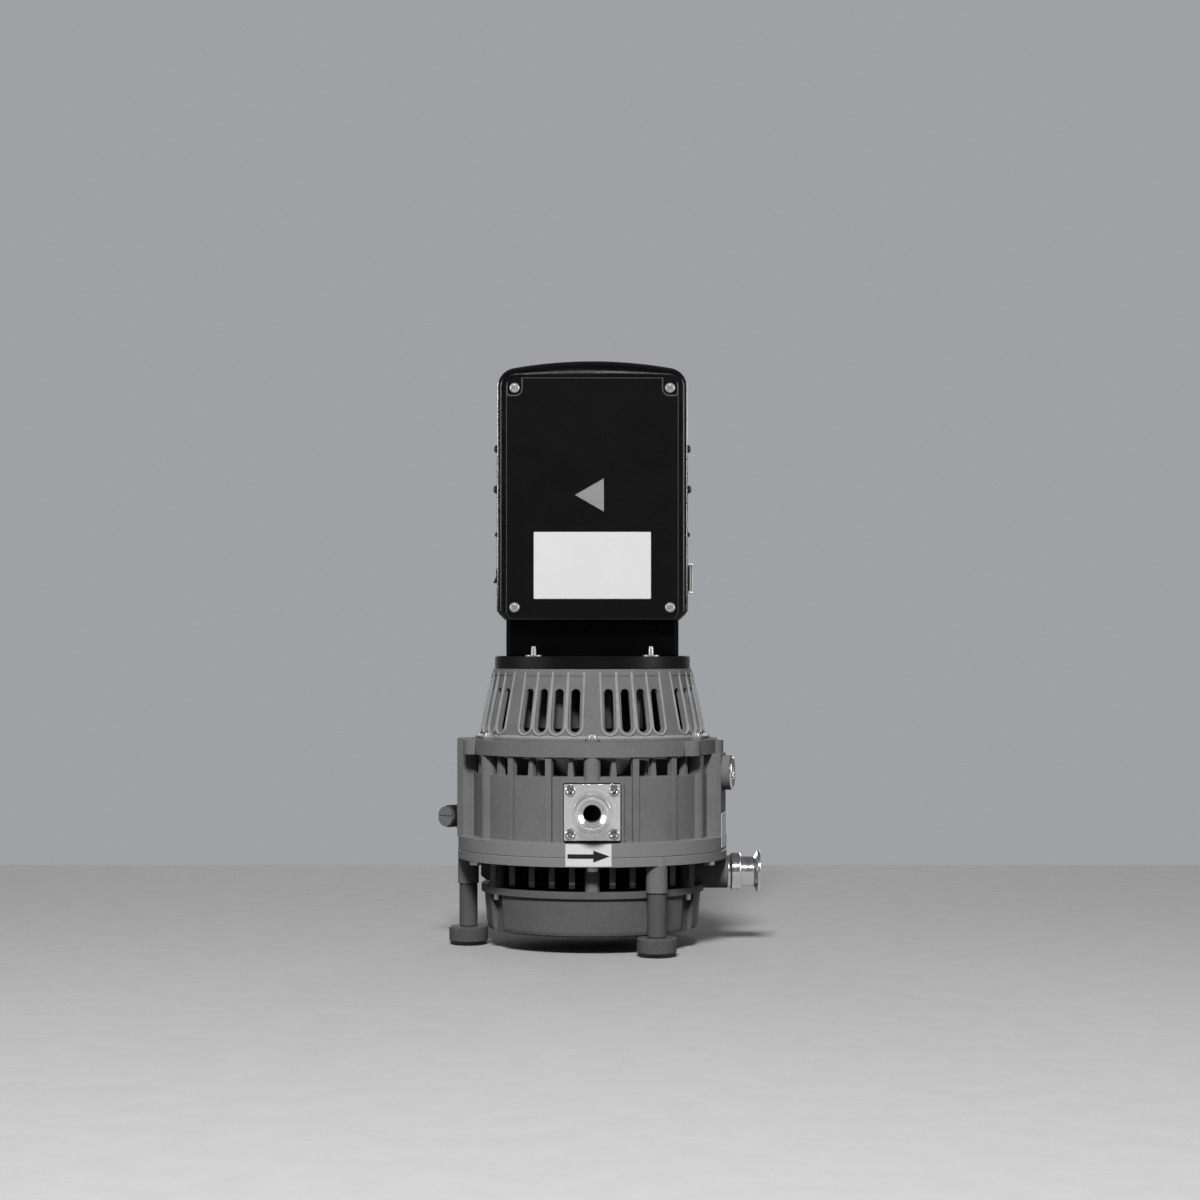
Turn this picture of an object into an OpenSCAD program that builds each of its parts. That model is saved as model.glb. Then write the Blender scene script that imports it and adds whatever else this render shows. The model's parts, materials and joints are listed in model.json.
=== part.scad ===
// Upright dry scroll vacuum pump on three legs, with its motor and drive box above the pump.
// Sizes are in millimetres. The floor is z = 0 and the shaft turns about the z axis.
// The front faces -y and the inlet faces +x. Azimuths start at the front and grow towards +x.

/* [Castings] */
// Outside diameter of the ring where the two castings meet
ring_d = 257; // [254:1:262]
// Thickness of the fixed scroll's half of the ring
ring_lower_t = 8.5; // [8:0.5:10]
// Thickness of the housing's half of the ring
ring_upper_t = 13.3; // [12:0.1:15]
// Height of the ribbed wall above the ring
wall_h = 60; // [58:1:64]
// Height of the windows between the wall and the top flange
window_h = 18; // [15:1:20]
// Diameter of the housing's top flange
flange_d = 240; // [238:1:246]
// Thickness of the housing's top flange
flange_t = 14; // [11:1:17]
// Width of the upright ribs
rib_w = 6; // [4:0.5:7]
// Thickness of the cooling fins under the fixed scroll
fin_t = 5.5; // [4:0.5:7]
// Spacing of the cooling fins under the fixed scroll
fin_pitch = 18.7; // [17:0.1:19]

/* [Legs] */
// Diameter of the circle that the legs stand on
leg_circle_d = 238; // [236:1:240]
// Diameter of a leg post
post_d = 17.4; // [16:0.2:19]
// Height of a leg post
post_h = 41.4; // [38:0.1:43]
// Height of the cast boss above a leg post
leg_boss_h = 25.2; // [24:0.1:27]
// Diameter of a foot
foot_d = 37; // [34:1:40]
// Height of a foot with its pad
foot_h = 17.4; // [17:0.2:22]

/* [Scroll] */
// Pitch of the wraps
wrap_pitch = 22; // [21:0.25:22.5]
// Thickness of a wrap
wrap_t = 5; // [4.8:0.1:5.4]
// Height of the space between the two scroll plates
wrap_h = 25; // [22:0.5:25.5]

/* [Fan and shroud] */
// Diameter of the shroud where it meets its base flange
shroud_base_d = 215; // [212:1:218]
// Diameter of the shroud at the top
shroud_top_d = 190; // [188:1:196]
// Height of the shroud
shroud_h = 66.8; // [64:0.1:70]
// Width of a shroud slot
slot_w = 8.5; // [7:0.5:9]
// Diameter of the cooling fan
fan_d = 168; // [150:2:172]

/* [Drive box] */
// Width of the drive box
box_w = 178; // [174:1:184]
// Depth of the drive box without its cover
box_d = 127; // [126:1:134]
// Height of the drive box at the middle of its crown
box_h = 244; // [238:1:252]
// Slope of the crown where it meets the corners, in degrees
crown_slope = 10; // [7:1:13]
// Height of the neck between the flange plate and the drive box
neck_h = 34; // [33:1:38]
// Thickness of the round flange plate
plate_t = 11.9; // [11:0.1:14]

/* [Hidden] */

$fn = 48;

// clearances
seat_gap = 0.05;
screw_gap = 0.2;
screw_r = 2.5;
small_screw_r = 2;
side_screw_r = 1.5;
wrap_gap = 0.35;
tip_gap = 0.3;
over = 1;

// heights above the floor
post_z = foot_h;
boss_z = post_z + post_h;
ring_z = boss_z + leg_boss_h;
joint_z = ring_z + ring_lower_t;
wall_z = joint_z + ring_upper_t;
deck_z = wall_z + wall_h;
flange_z = deck_z + window_h;
shroud_z = flange_z + flange_t;
plate_z = shroud_z + shroud_h;
neck_z = plate_z + plate_t;
box_z = neck_z + neck_h;

// castings
ring_r = ring_d / 2;
flange_r = flange_d / 2;
wall_r = 115;
wall_in_r = wall_r - 6;
rib_r = flange_r - 1.5;
boss_r = 7.75;
seam = 0.5;
boss_at = flange_r - 8;
deck_t = 6;
deck_rib_t = 3;
deck_rib_r = 101;
under_deck_z = deck_z - deck_t;
leg_az = [30, 150, 270];
leg_r = leg_circle_d / 2;
leg_boss_d = 20;
foot_hole_r = 4.5;
foot_hole_h = 12;
pad_h = 3;
bolt_r = 3;
bolt_az = [0, 68, 112, 180, 248, 292];
bolt_at = ring_r - 9.5;
groove_r = wall_in_r + 4;
seal_r = 1.15;

// scroll pair
base_r = wrap_pitch / (2 * PI);
orbit_r = wrap_pitch / 2 - wrap_t - wrap_gap;
floor_t = 6;
floor_z = ring_z + 4;
orbit_z = floor_z + wrap_h;
orbit_t = 8;
orbit_plate_r = wall_in_r - 7;
wrap_wall_r = wall_in_r - 0.5;
wrap_wall_in_r = wrap_wall_r - 5.5;
under_r = wrap_wall_r - 1;
cover_r = under_r - 1;
cover_deep = 42.4;
cover_wall = 3.5;
cover_in = 5.5;
pocket_w = 22;
cover_rim = 6.4;
cover_bolt_at = under_r - 7.5;
wrap_step = 9;
wrap_start = 270;
wrap_out_r = wrap_wall_in_r - 9;
wrap_steps = floor((wrap_out_r / base_r * 180 / PI - wrap_start) / wrap_step);

// crank and shaft
pin_z = orbit_z + orbit_t;
crank_seat_z = pin_z + 6;
crank_boss_h = 20;
web_z = pin_z + crank_boss_h + 2;
web_t = 8;
weight_t = under_deck_z - web_z - web_t - 1.8;
hub_r = 33;
seal_seat_h = 8;
bearing_z = deck_z + 6.2;
bearing_w = 12;
hub_top_z = bearing_z + bearing_w + 1;
main_od = 47;
main_id = 25;
pin_od = 37;
pin_id = 20;
neck_od = 42;
neck_id = 20;
end_od = 32;
end_id = 15;
end_w = 9;
small_od = 22;
small_id = 8;
small_w = 7;
shaft_seal_od = 42;
shaft_seal_id = 30;

// auxiliary cranks
aux_az = [60, 180, 300];
aux_r = 84;
aux_boss_h = 10;
aux_web_z = pin_z + aux_boss_h + 1.5;
aux_web_t = 4.5;
aux_seat_z = aux_web_z + aux_web_t + 1;

// shroud and fan
shroud_wall = 4;
slot_pitch = 9.1;
slot_z = shroud_z + 9.2;
slot_h = shroud_h - 26.3;
channel_edge = 2.5;
channel_h = shroud_h - 11.8;
channel_deep = 2.4;
channel_run_out = 0.3;
lug_reach = 20;
fan_z = shroud_z + 11.2;
blade_h = 41;
fan_plate_t = 3;
blade_count = 12;

// motor
plate_r = 93.5;
neck_w = box_w - 15;
neck_d = 88;
stator_r = 52;
stator_in_r = 31;
stator_h = 60;
stator_z = box_z + 16.5;
winding_h = 10;
winding_r = stator_r - 3.5;
case_t = 3;
case_h = 101;
end_bearing_z = box_z + 88.5;

// drive box
box_wall = 4;
box_front = -62;
corner_r = 19;
edge_in = 7;
edge_d = 8;
foot_chamfer = 7;
cover_w = box_w - 16.4;
cover_h = box_h - 17.5;
cover_t = 3;
cover_land = 14.8;
cover_screw_x = cover_w / 2 - 8;
cover_screw_low = 11.6;
cover_screw_high = cover_h - 9.3;
pocket_d = 1.5;
panel_t = 1;
panel_h = 147;
panel_w = 96;
socket_z = box_z + 40.5;
socket_w = 28;
socket_h = 24;
socket_out = 4;
switch_z = box_z + 42.3;
wire_r = 0.9;
board_w = box_w - 38;
board_h = box_h - case_h - 49;
board_z = box_z + case_h + 11;
board_t = 1.6;
board_gap = 10;

// ports and fittings
exhaust_z = ring_z + 50.2;
exhaust_face = boss_at + 8;
port_w = 51.6;
port_t = 5;
gasket_t = 1;
port_screw_at = 20;
exhaust_bore_r = 8.1;
inlet_z = boss_z + 11.2;
inlet_boss_r = 16;
inlet_face = ring_r + 0.5;
inlet_bore_r = 12.5;
left_face = ring_r + 0.5;
label_face = ring_r - 2;
label_az = 80;
side_boss_z = deck_z;
side_boss_r = 16.5;
side_boss_at = label_face + 7.5;
ballast_z = ring_z + 39;
ballast_az = -41.6;
ballast_at = left_face + 5;

// colours
black = [0.04, 0.04, 0.045];
dark_grey = [0.28, 0.29, 0.30];
cast_grey = [0.42, 0.42, 0.43];
steel = [0.75, 0.76, 0.78];
pale = [0.85, 0.85, 0.86];
copper = [0.72, 0.42, 0.22];
green = [0.1, 0.3, 0.18];

function arc(cx, cy, r, a0, a1, n) = [
    for (i = [0:n]) [cx + r * cos(a0 + (a1 - a0) * i / n), cy + r * sin(a0 + (a1 - a0) * i / n)]
];

function round_rect(w, h, r) = concat(
    arc(w / 2 - r, h / 2 - r, r, 0, 90, 5),
    arc(r - w / 2, h / 2 - r, r, 90, 180, 5),
    arc(r - w / 2, r - h / 2, r, 180, 270, 5),
    arc(w / 2 - r, r - h / 2, r, 270, 360, 5)
);

// front outline of the drive box, drawn in by i at the sides and the top
function crown_half(i) = box_w / 2 - corner_r + (corner_r - i) * sin(crown_slope);
function crown_rise(i) = crown_half(i) * tan(crown_slope / 2);
function corner_z(i) = box_h - i - crown_rise(i) - (corner_r - i) * cos(crown_slope);
function crown_r(i) = crown_half(i) / sin(crown_slope);
function box_outline(i) = concat(
    [[foot_chamfer + i - box_w / 2, 0], [box_w / 2 - i - foot_chamfer, 0]],
    [[box_w / 2 - i, foot_chamfer]],
    arc(box_w / 2 - corner_r, corner_z(i), corner_r - i, 0, 90 - crown_slope, 7),
    arc(0, box_h - i - crown_r(i), crown_r(i), 91 - crown_slope, 89 + crown_slope, 12),
    arc(corner_r - box_w / 2, corner_z(i), corner_r - i, 90 + crown_slope, 180, 7),
    [[i - box_w / 2, foot_chamfer]]
);

// a point of an involute wall, turned by a and standing off the middle line by s
function wrap_point(a, s) = [
    base_r * cos(a) + (base_r * a * PI / 180 + s) * sin(a),
    base_r * sin(a) - (base_r * a * PI / 180 + s) * cos(a)
];
function wrap_outline() = concat(
    [for (i = [0:wrap_steps]) wrap_point(wrap_start + i * wrap_step, wrap_t / 2)],
    [for (i = [wrap_steps:-1:0]) wrap_point(wrap_start + i * wrap_step, -wrap_t / 2)]
);

function aux_at(i) = [aux_r * sin(aux_az[i]), -aux_r * cos(aux_az[i]), 0];

// children are drawn at the front and turned to the azimuth a
module at_az(a) {
    rotate([0, 0, a])
        children();
}

// extrudes an outline of x and z from y towards the front
module facing(y, t, z) {
    translate([0, y, z])
        rotate([90, 0, 0])
            linear_extrude(t)
                children();
}

module tube(r, bore, h) {
    difference() {
        cylinder(r = r, h = h);
        translate([0, 0, -over])
            cylinder(r = bore, h = h + 2 * over);
    }
}

// pan head with a cross recess above z = 0 and a shank below it
module pan_screw(r, h, shank, length) {
    difference() {
        union() {
            cylinder(r1 = r, r2 = r * 0.82, h = h, $fn = 32);
            translate([0, 0, -length])
                cylinder(r = shank, h = length + h / 2, $fn = 24);
        }
        translate([-r * 0.55, -r * 0.11, h * 0.45])
            cube([r * 1.1, r * 0.22, h]);
        translate([-r * 0.11, -r * 0.55, h * 0.45])
            cube([r * 0.22, r * 1.1, h]);
    }
}

// sealed ball bearing standing on z = 0
module bearing(od, id, w) {
    ring = (od - id) / 8;
    rotate_extrude()
        polygon([
            [id / 2 + seat_gap, 0], [id / 2 + ring, 0], [id / 2 + ring, 0.6],
            [od / 2 - ring, 0.6], [od / 2 - ring, 0], [od / 2, 0], [od / 2, w],
            [od / 2 - ring, w], [od / 2 - ring, w - 0.6], [id / 2 + ring, w - 0.6],
            [id / 2 + ring, w], [id / 2 + seat_gap, w]
        ]);
}

// Drive box

module drive_box_housing() {
    back = box_front + box_d;
    color(black)
    translate([0, 0, box_z])
    difference() {
        hull() {
            facing(back - edge_d, box_d - 2 * edge_d, 0)
                polygon(box_outline(0));
            facing(back, box_d, 0)
                polygon(box_outline(edge_in));
        }
        translate([box_wall - box_w / 2, box_front + box_wall, box_wall])
            cube([box_w - 2 * box_wall, box_d - 2 * box_wall, corner_z(0) - 8]);
        translate([cover_land - cover_w / 2, box_front - over, 20])
            cube([cover_w - 2 * cover_land, box_wall + 2 * over, cover_h - 38.5]);
        translate([0, 0, -over])
            cylinder(r = 50, h = box_wall + 2 * over);
        for (x = [-cover_screw_x, cover_screw_x])
            for (z = [cover_screw_low, cover_screw_high])
                facing(box_front + box_wall + over, box_wall + 2 * over, 0)
                    translate([x, z])
                        circle(r = small_screw_r + screw_gap, $fn = 24);
        translate([box_w / 2 - box_wall - over, -socket_w / 2 + 2, socket_z - box_z - socket_h / 2 + 2])
            cube([box_wall + 2 * over, socket_w - 4, socket_h - 4]);
        translate([-box_w / 2 - over, -11, switch_z - box_z - 9])
            cube([box_wall + 2 * over, 22, 18]);
        for (z = side_screw_z())
            translate([0, -22, z - box_z])
                rotate([0, 90, 0])
                    cylinder(r = side_screw_r + screw_gap, h = box_w + 2 * over, center = true, $fn = 24);
    }
}

module drive_box_cover() {
    color(black)
    difference() {
        facing(box_front, cover_t, box_z + cover_h / 2 + 0.5)
            polygon(round_rect(cover_w, cover_h, 8));
        for (s = [-1, 1]) {
            translate([s * cover_screw_x, box_front - cover_t, box_z + cover_screw_high])
                rotate([90, 0, 0])
                    cylinder(r = 7, h = 2 * pocket_d, center = true);
            translate([s * cover_screw_x - 7, box_front - cover_t - over, box_z + cover_screw_high])
                cube([14, pocket_d + over, 12]);
            translate([s * (cover_screw_x + 3.5) - 3.4, box_front - cover_t - over,
                    box_z + cover_screw_high - 6.9])
                cube([6.8, pocket_d + over, 8]);
            for (z = [cover_screw_low, cover_screw_high])
                facing(box_front + over, cover_t + 2 * over, box_z)
                    translate([s * cover_screw_x, z])
                        circle(r = small_screw_r + screw_gap, $fn = 24);
        }
    }
}

module cover_screws() {
    color(steel)
    for (x = [-cover_screw_x, cover_screw_x]) {
        translate([x, box_front - cover_t, box_z + cover_screw_low])
            rotate([90, 0, 0])
                pan_screw(4.7, 2.6, small_screw_r, 6);
        translate([x, box_front - cover_t + pocket_d, box_z + cover_screw_high])
            rotate([90, 0, 0])
                pan_screw(4.7, 2.6, small_screw_r, 5);
    }
}

module rating_plate() {
    color(pale)
    facing(box_front - cover_t, 0.5, box_z + 51)
        polygon(round_rect(109.8, 62.8, 0.8));
}

module triangle_plate() {
    color(steel)
    facing(box_front - cover_t, 0.5, box_z + 117)
        polygon([[-16.2, 0], [10.8, -15.6], [10.8, 15.6]]);
}

function side_screw_z() = [box_z + 163, box_z + 124.5, box_z + 81.5];

module side_panel(side) {
    translate([side * (box_w / 2 + panel_t / 2), 0, box_z + 8 + panel_h / 2])
        cube([panel_t, panel_w, panel_h], center = true);
}

module side_panels() {
    color(dark_grey)
    difference() {
        union() {
            side_panel(-1);
            side_panel(1);
        }
        translate([box_w / 2 - over, -socket_w / 2 - 0.3, socket_z - socket_h / 2 - 0.3])
            cube([4 * over, socket_w + 0.6, socket_h + 0.6]);
        translate([-box_w / 2 - 3 * over, -15.3, switch_z - 12.3])
            cube([4 * over, 30.6, 24.6]);
        for (z = side_screw_z())
            translate([0, -22, z])
                rotate([0, 90, 0])
                    cylinder(r = side_screw_r + screw_gap, h = 2 * box_w, center = true, $fn = 24);
    }
}

// domed screw standing on x = out, pointing along side
module side_screw(side, out, r, h) {
    translate([side * out, -22, 0])
        rotate([0, side * 90, 0]) {
            cylinder(r1 = r, r2 = r * 0.9, h = h * 0.5, $fn = 32);
            translate([0, 0, h * 0.5])
                cylinder(r1 = r * 0.9, r2 = r * 0.45, h = h * 0.5, $fn = 32);
            translate([0, 0, -6])
                cylinder(r = side_screw_r, h = 7, $fn = 24);
        }
}

module side_screws() {
    z = side_screw_z();
    color(black)
    for (side = [-1, 1]) {
        translate([0, 0, z[0]])
            side_screw(side, box_w / 2, 3.8, 4.4);
        translate([0, 0, z[1]])
            side_screw(side, box_w / 2 + panel_t, 3.8, 4);
        translate([0, 0, z[2]])
            side_screw(side, box_w / 2 + panel_t, 2.4, 3);
    }
}

module switch_frame() {
    out = box_w / 2;
    color(black)
    difference() {
        union() {
            translate([-out - 2.2, -15, switch_z - 12])
                cube([2.2, 30, 24]);
            translate([-out, -10.7, switch_z - 8.7])
                cube([13, 21.4, 17.4]);
        }
        translate([-out - 2.2 - over, -9, switch_z - 7.2])
            cube([12.2 + over, 18, 14.4]);
        translate([-out, 0, switch_z])
            rotate([90, 0, 0])
                cylinder(r = 1.5 + seat_gap, h = 20, center = true, $fn = 24);
    }
}

module switch_rocker() {
    color([0.09, 0.09, 0.1])
    translate([-box_w / 2, 0, switch_z]) {
        rotate([90, 0, 0])
            linear_extrude(17.2, center = true)
                polygon([[-3.4, 6.4], [-3.2, 0], [-6, -6.4], [1.6, -5.6], [2.4, 0], [1.6, 5.6]]);
        rotate([90, 0, 0])
            cylinder(r = 1.5, h = 19.6, center = true, $fn = 24);
    }
}

module power_inlet() {
    out = box_w / 2;
    color(black)
    difference() {
        union() {
            translate([out, -socket_w / 2, socket_z - socket_h / 2])
                cube([socket_out, socket_w, socket_h]);
            translate([out - 22, 2.3 - socket_w / 2, socket_z - socket_h / 2 + 2.3])
                cube([22, socket_w - 4.6, socket_h - 4.6]);
        }
        translate([out - 12, -10, socket_z - 7])
            cube([20, 20, 14]);
        for (s = [-1, 1])
            translate([out + 2.4, -11.6, socket_z + s * (socket_h / 2 - 1)])
                cylinder(r = wire_r + seat_gap, h = 5, center = true, $fn = 24);
    }
    color(black)
    for (p = [[-6, -1.5], [0, 1.5], [6, -1.5]])
        translate([out - 13, p[0] - 0.9, socket_z + p[1] - 2.2])
            cube([10, 1.8, 4.4]);
}

module cord_retainer() {
    out = box_w / 2 + 2.4;
    reach = 4.4;
    run = 24;
    color(steel)
    translate([out, -11.6, socket_z]) {
        for (s = [-1, 1]) {
            translate([0, 0, s * (socket_h / 2 + 0.4) - 1.7])
                cylinder(r = wire_r, h = 3.4, $fn = 24);
            translate([0, 0, s * (socket_h / 2 + 1.5)])
                rotate([0, 90, atan2(run, reach)])
                    cylinder(r = wire_r, h = norm([run, reach]), $fn = 24);
        }
        translate([reach, run, -socket_h / 2 - 2.2])
            cylinder(r = wire_r, h = socket_h + 4.4, $fn = 24);
    }
}

module drive_board() {
    back = box_front + box_d - box_wall;
    color(green)
    translate([-board_w / 2, back - board_gap - board_t, board_z])
        cube([board_w, board_t, board_h]);
    color(steel)
    for (s = [-1, 1])
        for (z = [6, board_h - 6])
            translate([s * (board_w / 2 - 6), back, board_z + z])
                rotate([90, 0, 0])
                    cylinder(r = 3, h = board_gap, $fn = 24);
}

module board_parts() {
    face = box_front + box_d - box_wall - board_gap - board_t;
    color(dark_grey) {
        for (x = [-44, -16, 12])
            translate([x, face, board_z + board_h - 15])
                rotate([90, 0, 0])
                    cylinder(r = 11, h = 36, $fn = 32);
        for (i = [0:6])
            translate([30, face - 30, board_z + 10 + i * 6])
                cube([34, 26.5, 2]);
        translate([30, face - 4, board_z + 8])
            cube([34, 4, 40]);
        translate([-30, face, board_z + 22])
            rotate([90, 0, 0])
                tube(18, 8, 14);
    }
}

// Motor

module motor_neck() {
    color(black)
    difference() {
        translate([0, 0, neck_z])
            linear_extrude(neck_h)
                polygon(round_rect(neck_w, neck_d, 6));
        difference() {
            translate([0, 0, neck_z + 4])
                linear_extrude(neck_h)
                    polygon(round_rect(neck_w - 12, neck_d - 12, 3));
            translate([0, 0, neck_z])
                cylinder(r = 28, h = 22);
            translate([-neck_w / 2, -3, neck_z])
                cube([neck_w, 6, 16]);
        }
        translate([0, 0, neck_z - over])
            cylinder(r = 14, h = neck_h);
        translate([0, 0, neck_z + 8])
            cylinder(r = neck_od / 2 + seat_gap, h = neck_h);
    }
}

module flange_plate() {
    color(black)
    difference() {
        translate([0, 0, plate_z])
            cylinder(r = plate_r, h = plate_t, $fn = 96);
        translate([0, 0, plate_z - over])
            cylinder(r = 14, h = plate_t + 2 * over);
        for (p = flange_screw_at())
            translate([p[0], p[1], plate_z - over])
                cylinder(r = screw_r + screw_gap, h = plate_t + 2 * over, $fn = 24);
    }
}

function flange_screw_at() = [[-55, -63], [55, -63], [-55, 63], [55, 63]];

module flange_screws() {
    color(steel)
    for (p = flange_screw_at())
        translate([p[0], p[1], neck_z]) {
            cylinder(r = 8, h = 1.2, $fn = 32);
            translate([0, 0, -10])
                cylinder(r = screw_r, h = 19.5, $fn = 24);
        }
}

module motor_case() {
    z0 = box_z + box_wall;
    color(cast_grey)
    difference() {
        union() {
            translate([0, 0, z0])
                cylinder(r = stator_r + seat_gap + case_t, h = case_h - box_wall);
            translate([0, 0, z0])
                cylinder(r = stator_r + case_t + 2.5, h = 4);
        }
        translate([0, 0, z0 - over])
            cylinder(r = stator_r - 2.5, h = 6);
        translate([0, 0, z0 + 4])
            cylinder(r = stator_r + seat_gap, h = case_h - box_wall - 7.5);
        translate([0, 0, end_bearing_z - over])
            cylinder(r = 9, h = 30);
    }
    color(cast_grey)
    translate([0, 0, end_bearing_z])
        tube(21, end_od / 2 + seat_gap, case_h - 91.5);
}

module motor_stator() {
    color(steel)
    translate([0, 0, stator_z])
    difference() {
        cylinder(r = stator_r, h = stator_h);
        translate([0, 0, -over])
            cylinder(r = stator_in_r, h = stator_h + 2 * over);
        for (i = [0:11])
            rotate([0, 0, i * 30])
                translate([stator_in_r + 3, -4, -over])
                    cube([12, 8, stator_h + 2 * over]);
    }
}

module motor_windings() {
    color(copper)
    for (z = [stator_z - winding_h, stator_z + stator_h])
        translate([0, 0, z])
            rotate_extrude()
                polygon([
                    [35, 0], [winding_r - 2, 0], [winding_r, 2.5], [winding_r, winding_h - 2.5],
                    [winding_r - 2, winding_h], [35, winding_h], [33.5, winding_h - 2.5], [33.5, 2.5]
                ]);
}

module motor_rotor() {
    color(steel)
    translate([0, 0, stator_z])
        tube(stator_in_r - 0.4, neck_id / 2 + seat_gap, stator_h);
}

module neck_bearing() {
    color(steel)
    translate([0, 0, neck_z + 8])
        bearing(neck_od, neck_id, bearing_w);
}

module end_bearing() {
    color(steel)
    translate([0, 0, end_bearing_z])
        bearing(end_od, end_id, end_w);
}

// Fan and shroud

// front outline of a slot that is w wide and h high, standing on its round lower end
function slot_outline(w, h) = concat(
    arc(0, w / 2, w / 2, 180, 360, 8),
    arc(0, h - w / 2, w / 2, 0, 180, 8)
);

// the channel round a slot has a round lower end and runs out at the top
function channel_outline(w, h) = concat(
    arc(0, w / 2, w / 2, 180, 360, 10),
    [[w / 2, h], [-w / 2, h]]
);

function shroud_r(z) = shroud_base_d / 2
    - (shroud_base_d - shroud_top_d) / 2 * (z - shroud_z - 4) / (shroud_h - 4);

module shroud_body() {
    rb = shroud_base_d / 2;
    rt = shroud_top_d / 2;
    rotate_extrude($fn = 96)
        polygon([
            [rb - shroud_wall, shroud_z], [rb + 4.5, shroud_z], [rb + 4.5, shroud_z + 3],
            [rb + 1.5, shroud_z + 3], [rb, shroud_z + 5], [rt, plate_z], [rt - 16, plate_z],
            [rt - 16, plate_z - 4], [rt - shroud_wall, plate_z - 4], [rb - shroud_wall, shroud_z + 4]
        ]);
}

module shroud_slot() {
    lean = atan2((shroud_base_d - shroud_top_d) / 2, shroud_h - 5);
    translate([0, -shroud_r(slot_z), slot_z])
        rotate([90 - lean, 0, 0]) {
            translate([0, 0, -12])
                linear_extrude(24)
                    polygon(slot_outline(slot_w, slot_h));
            translate([0, channel_h - channel_edge, -channel_run_out])
                rotate([atan2(channel_deep - channel_run_out, channel_h), 0, 0])
                    translate([0, -channel_h, 0])
                        linear_extrude(10)
                            polygon(channel_outline(slot_w + 2 * channel_edge, channel_h));
        }
}

module fan_shroud() {
    color(cast_grey)
    difference() {
        union() {
            shroud_body();
            for (a = [0:60:300])
                at_az(a) {
                    translate([0, -boss_at, shroud_z])
                        cylinder(r = 6.8, h = 3, $fn = 32);
                    translate([-5, -boss_at, shroud_z])
                        cube([10, lug_reach, 3]);
                }
        }
        for (g = [0:7])
            for (i = [-1.5:1:1.5])
                at_az(g * 45 + 22.5 + i * slot_pitch)
                    shroud_slot();
        for (a = [0:60:300])
            at_az(a)
                translate([0, -boss_at, shroud_z - over])
                    cylinder(r = screw_r + screw_gap, h = 8, $fn = 24);
        for (a = [0:60:300])
            at_az(a)
                translate([0, -boss_at, shroud_z + 3])
                    cylinder(r = 5.6, h = 9, $fn = 32);
    }
}

module shroud_screws() {
    color(steel)
    for (a = [0:60:300])
        at_az(a)
            translate([0, -boss_at, shroud_z + 3]) {
                cylinder(r = 5.2, h = 1, $fn = 32);
                translate([0, 0, 1])
                    pan_screw(4.2, 3.4, screw_r, 14);
            }
}

module cooling_fan() {
    color(dark_grey)
    translate([0, 0, fan_z])
    difference() {
        union() {
            cylinder(r = 22, h = blade_h + fan_plate_t);
            translate([0, 0, blade_h])
                cylinder(r = fan_d / 2, h = fan_plate_t, $fn = 96);
            for (i = [0:blade_count - 1])
                rotate([0, 0, i * 360 / blade_count + 9])
                    translate([20, -1.5, 0])
                        cube([fan_d / 2 - 22, 3, blade_h + 1]);
        }
        translate([0, 0, -over])
            cylinder(r = neck_id / 2 + seat_gap, h = blade_h + 10);
    }
}

// Drive train

module crankshaft() {
    seal_top = bearing_z - 0.5;
    hub_top = bearing_z + bearing_w + 1.5;
    end_z = end_bearing_z - 6;
    color(steel)
    union() {
        translate([orbit_r, 0, pin_z + 4])
            cylinder(r = pin_id / 2, h = web_z - pin_z - 3);
        translate([0, 0, web_z])
            cylinder(r = 34, h = web_t);
        translate([0, 0, web_z + web_t - over])
            cylinder(r = shaft_seal_id / 2, h = seal_top - web_z - web_t + over);
        translate([0, 0, seal_top - over])
            cylinder(r = main_id / 2, h = hub_top - seal_top + over);
        translate([0, 0, hub_top - over])
            cylinder(r = neck_id / 2, h = end_z - hub_top + over);
        translate([0, 0, end_z - over])
            cylinder(r = end_id / 2, h = end_bearing_z + end_w - end_z);
    }
}

module counterweight() {
    color(steel)
    translate([0, 0, web_z + web_t])
    difference() {
        union() {
            intersection() {
                cylinder(r = 58, h = weight_t);
                translate([-60, -60, -over])
                    cube([50, 120, weight_t + 2 * over]);
            }
            cylinder(r = 24, h = weight_t);
        }
        translate([0, 0, -over])
            cylinder(r = shaft_seal_id / 2 + seat_gap, h = weight_t + 2 * over);
    }
}

module main_bearing() {
    color(steel)
    translate([0, 0, bearing_z])
        bearing(main_od, main_id, bearing_w);
}

module shaft_seal() {
    color(black)
    translate([0, 0, under_deck_z + 0.5])
        tube(shaft_seal_od / 2, shaft_seal_id / 2 + seat_gap, seal_seat_h - 0.5);
}

module crank_bearing() {
    color(steel)
    translate([orbit_r, 0, crank_seat_z])
        bearing(pin_od, pin_id, bearing_w);
}

module aux_crank(i) {
    color(steel)
    translate(aux_at(i)) {
        translate([orbit_r, 0, pin_z + 1.5])
            cylinder(r = small_id / 2, h = aux_web_z - pin_z - 0.5, $fn = 32);
        translate([0, 0, aux_web_z])
            cylinder(r = 11, h = aux_web_t, $fn = 32);
        translate([0, 0, aux_web_z + aux_web_t - over])
            cylinder(r = small_id / 2, h = 15, $fn = 32);
    }
}

module aux_crank_a() {
    aux_crank(0);
}

module aux_crank_b() {
    aux_crank(1);
}

module aux_crank_c() {
    aux_crank(2);
}

module aux_housing_bearings() {
    color(steel)
    for (i = [0:2])
        translate(aux_at(i) + [0, 0, aux_seat_z + 1])
            bearing(small_od, small_id, small_w);
}

module aux_pin_bearings() {
    color(steel)
    for (i = [0:2])
        translate(aux_at(i) + [orbit_r, 0, pin_z + 2])
            bearing(small_od, small_id, small_w);
}

// Pump

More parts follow.
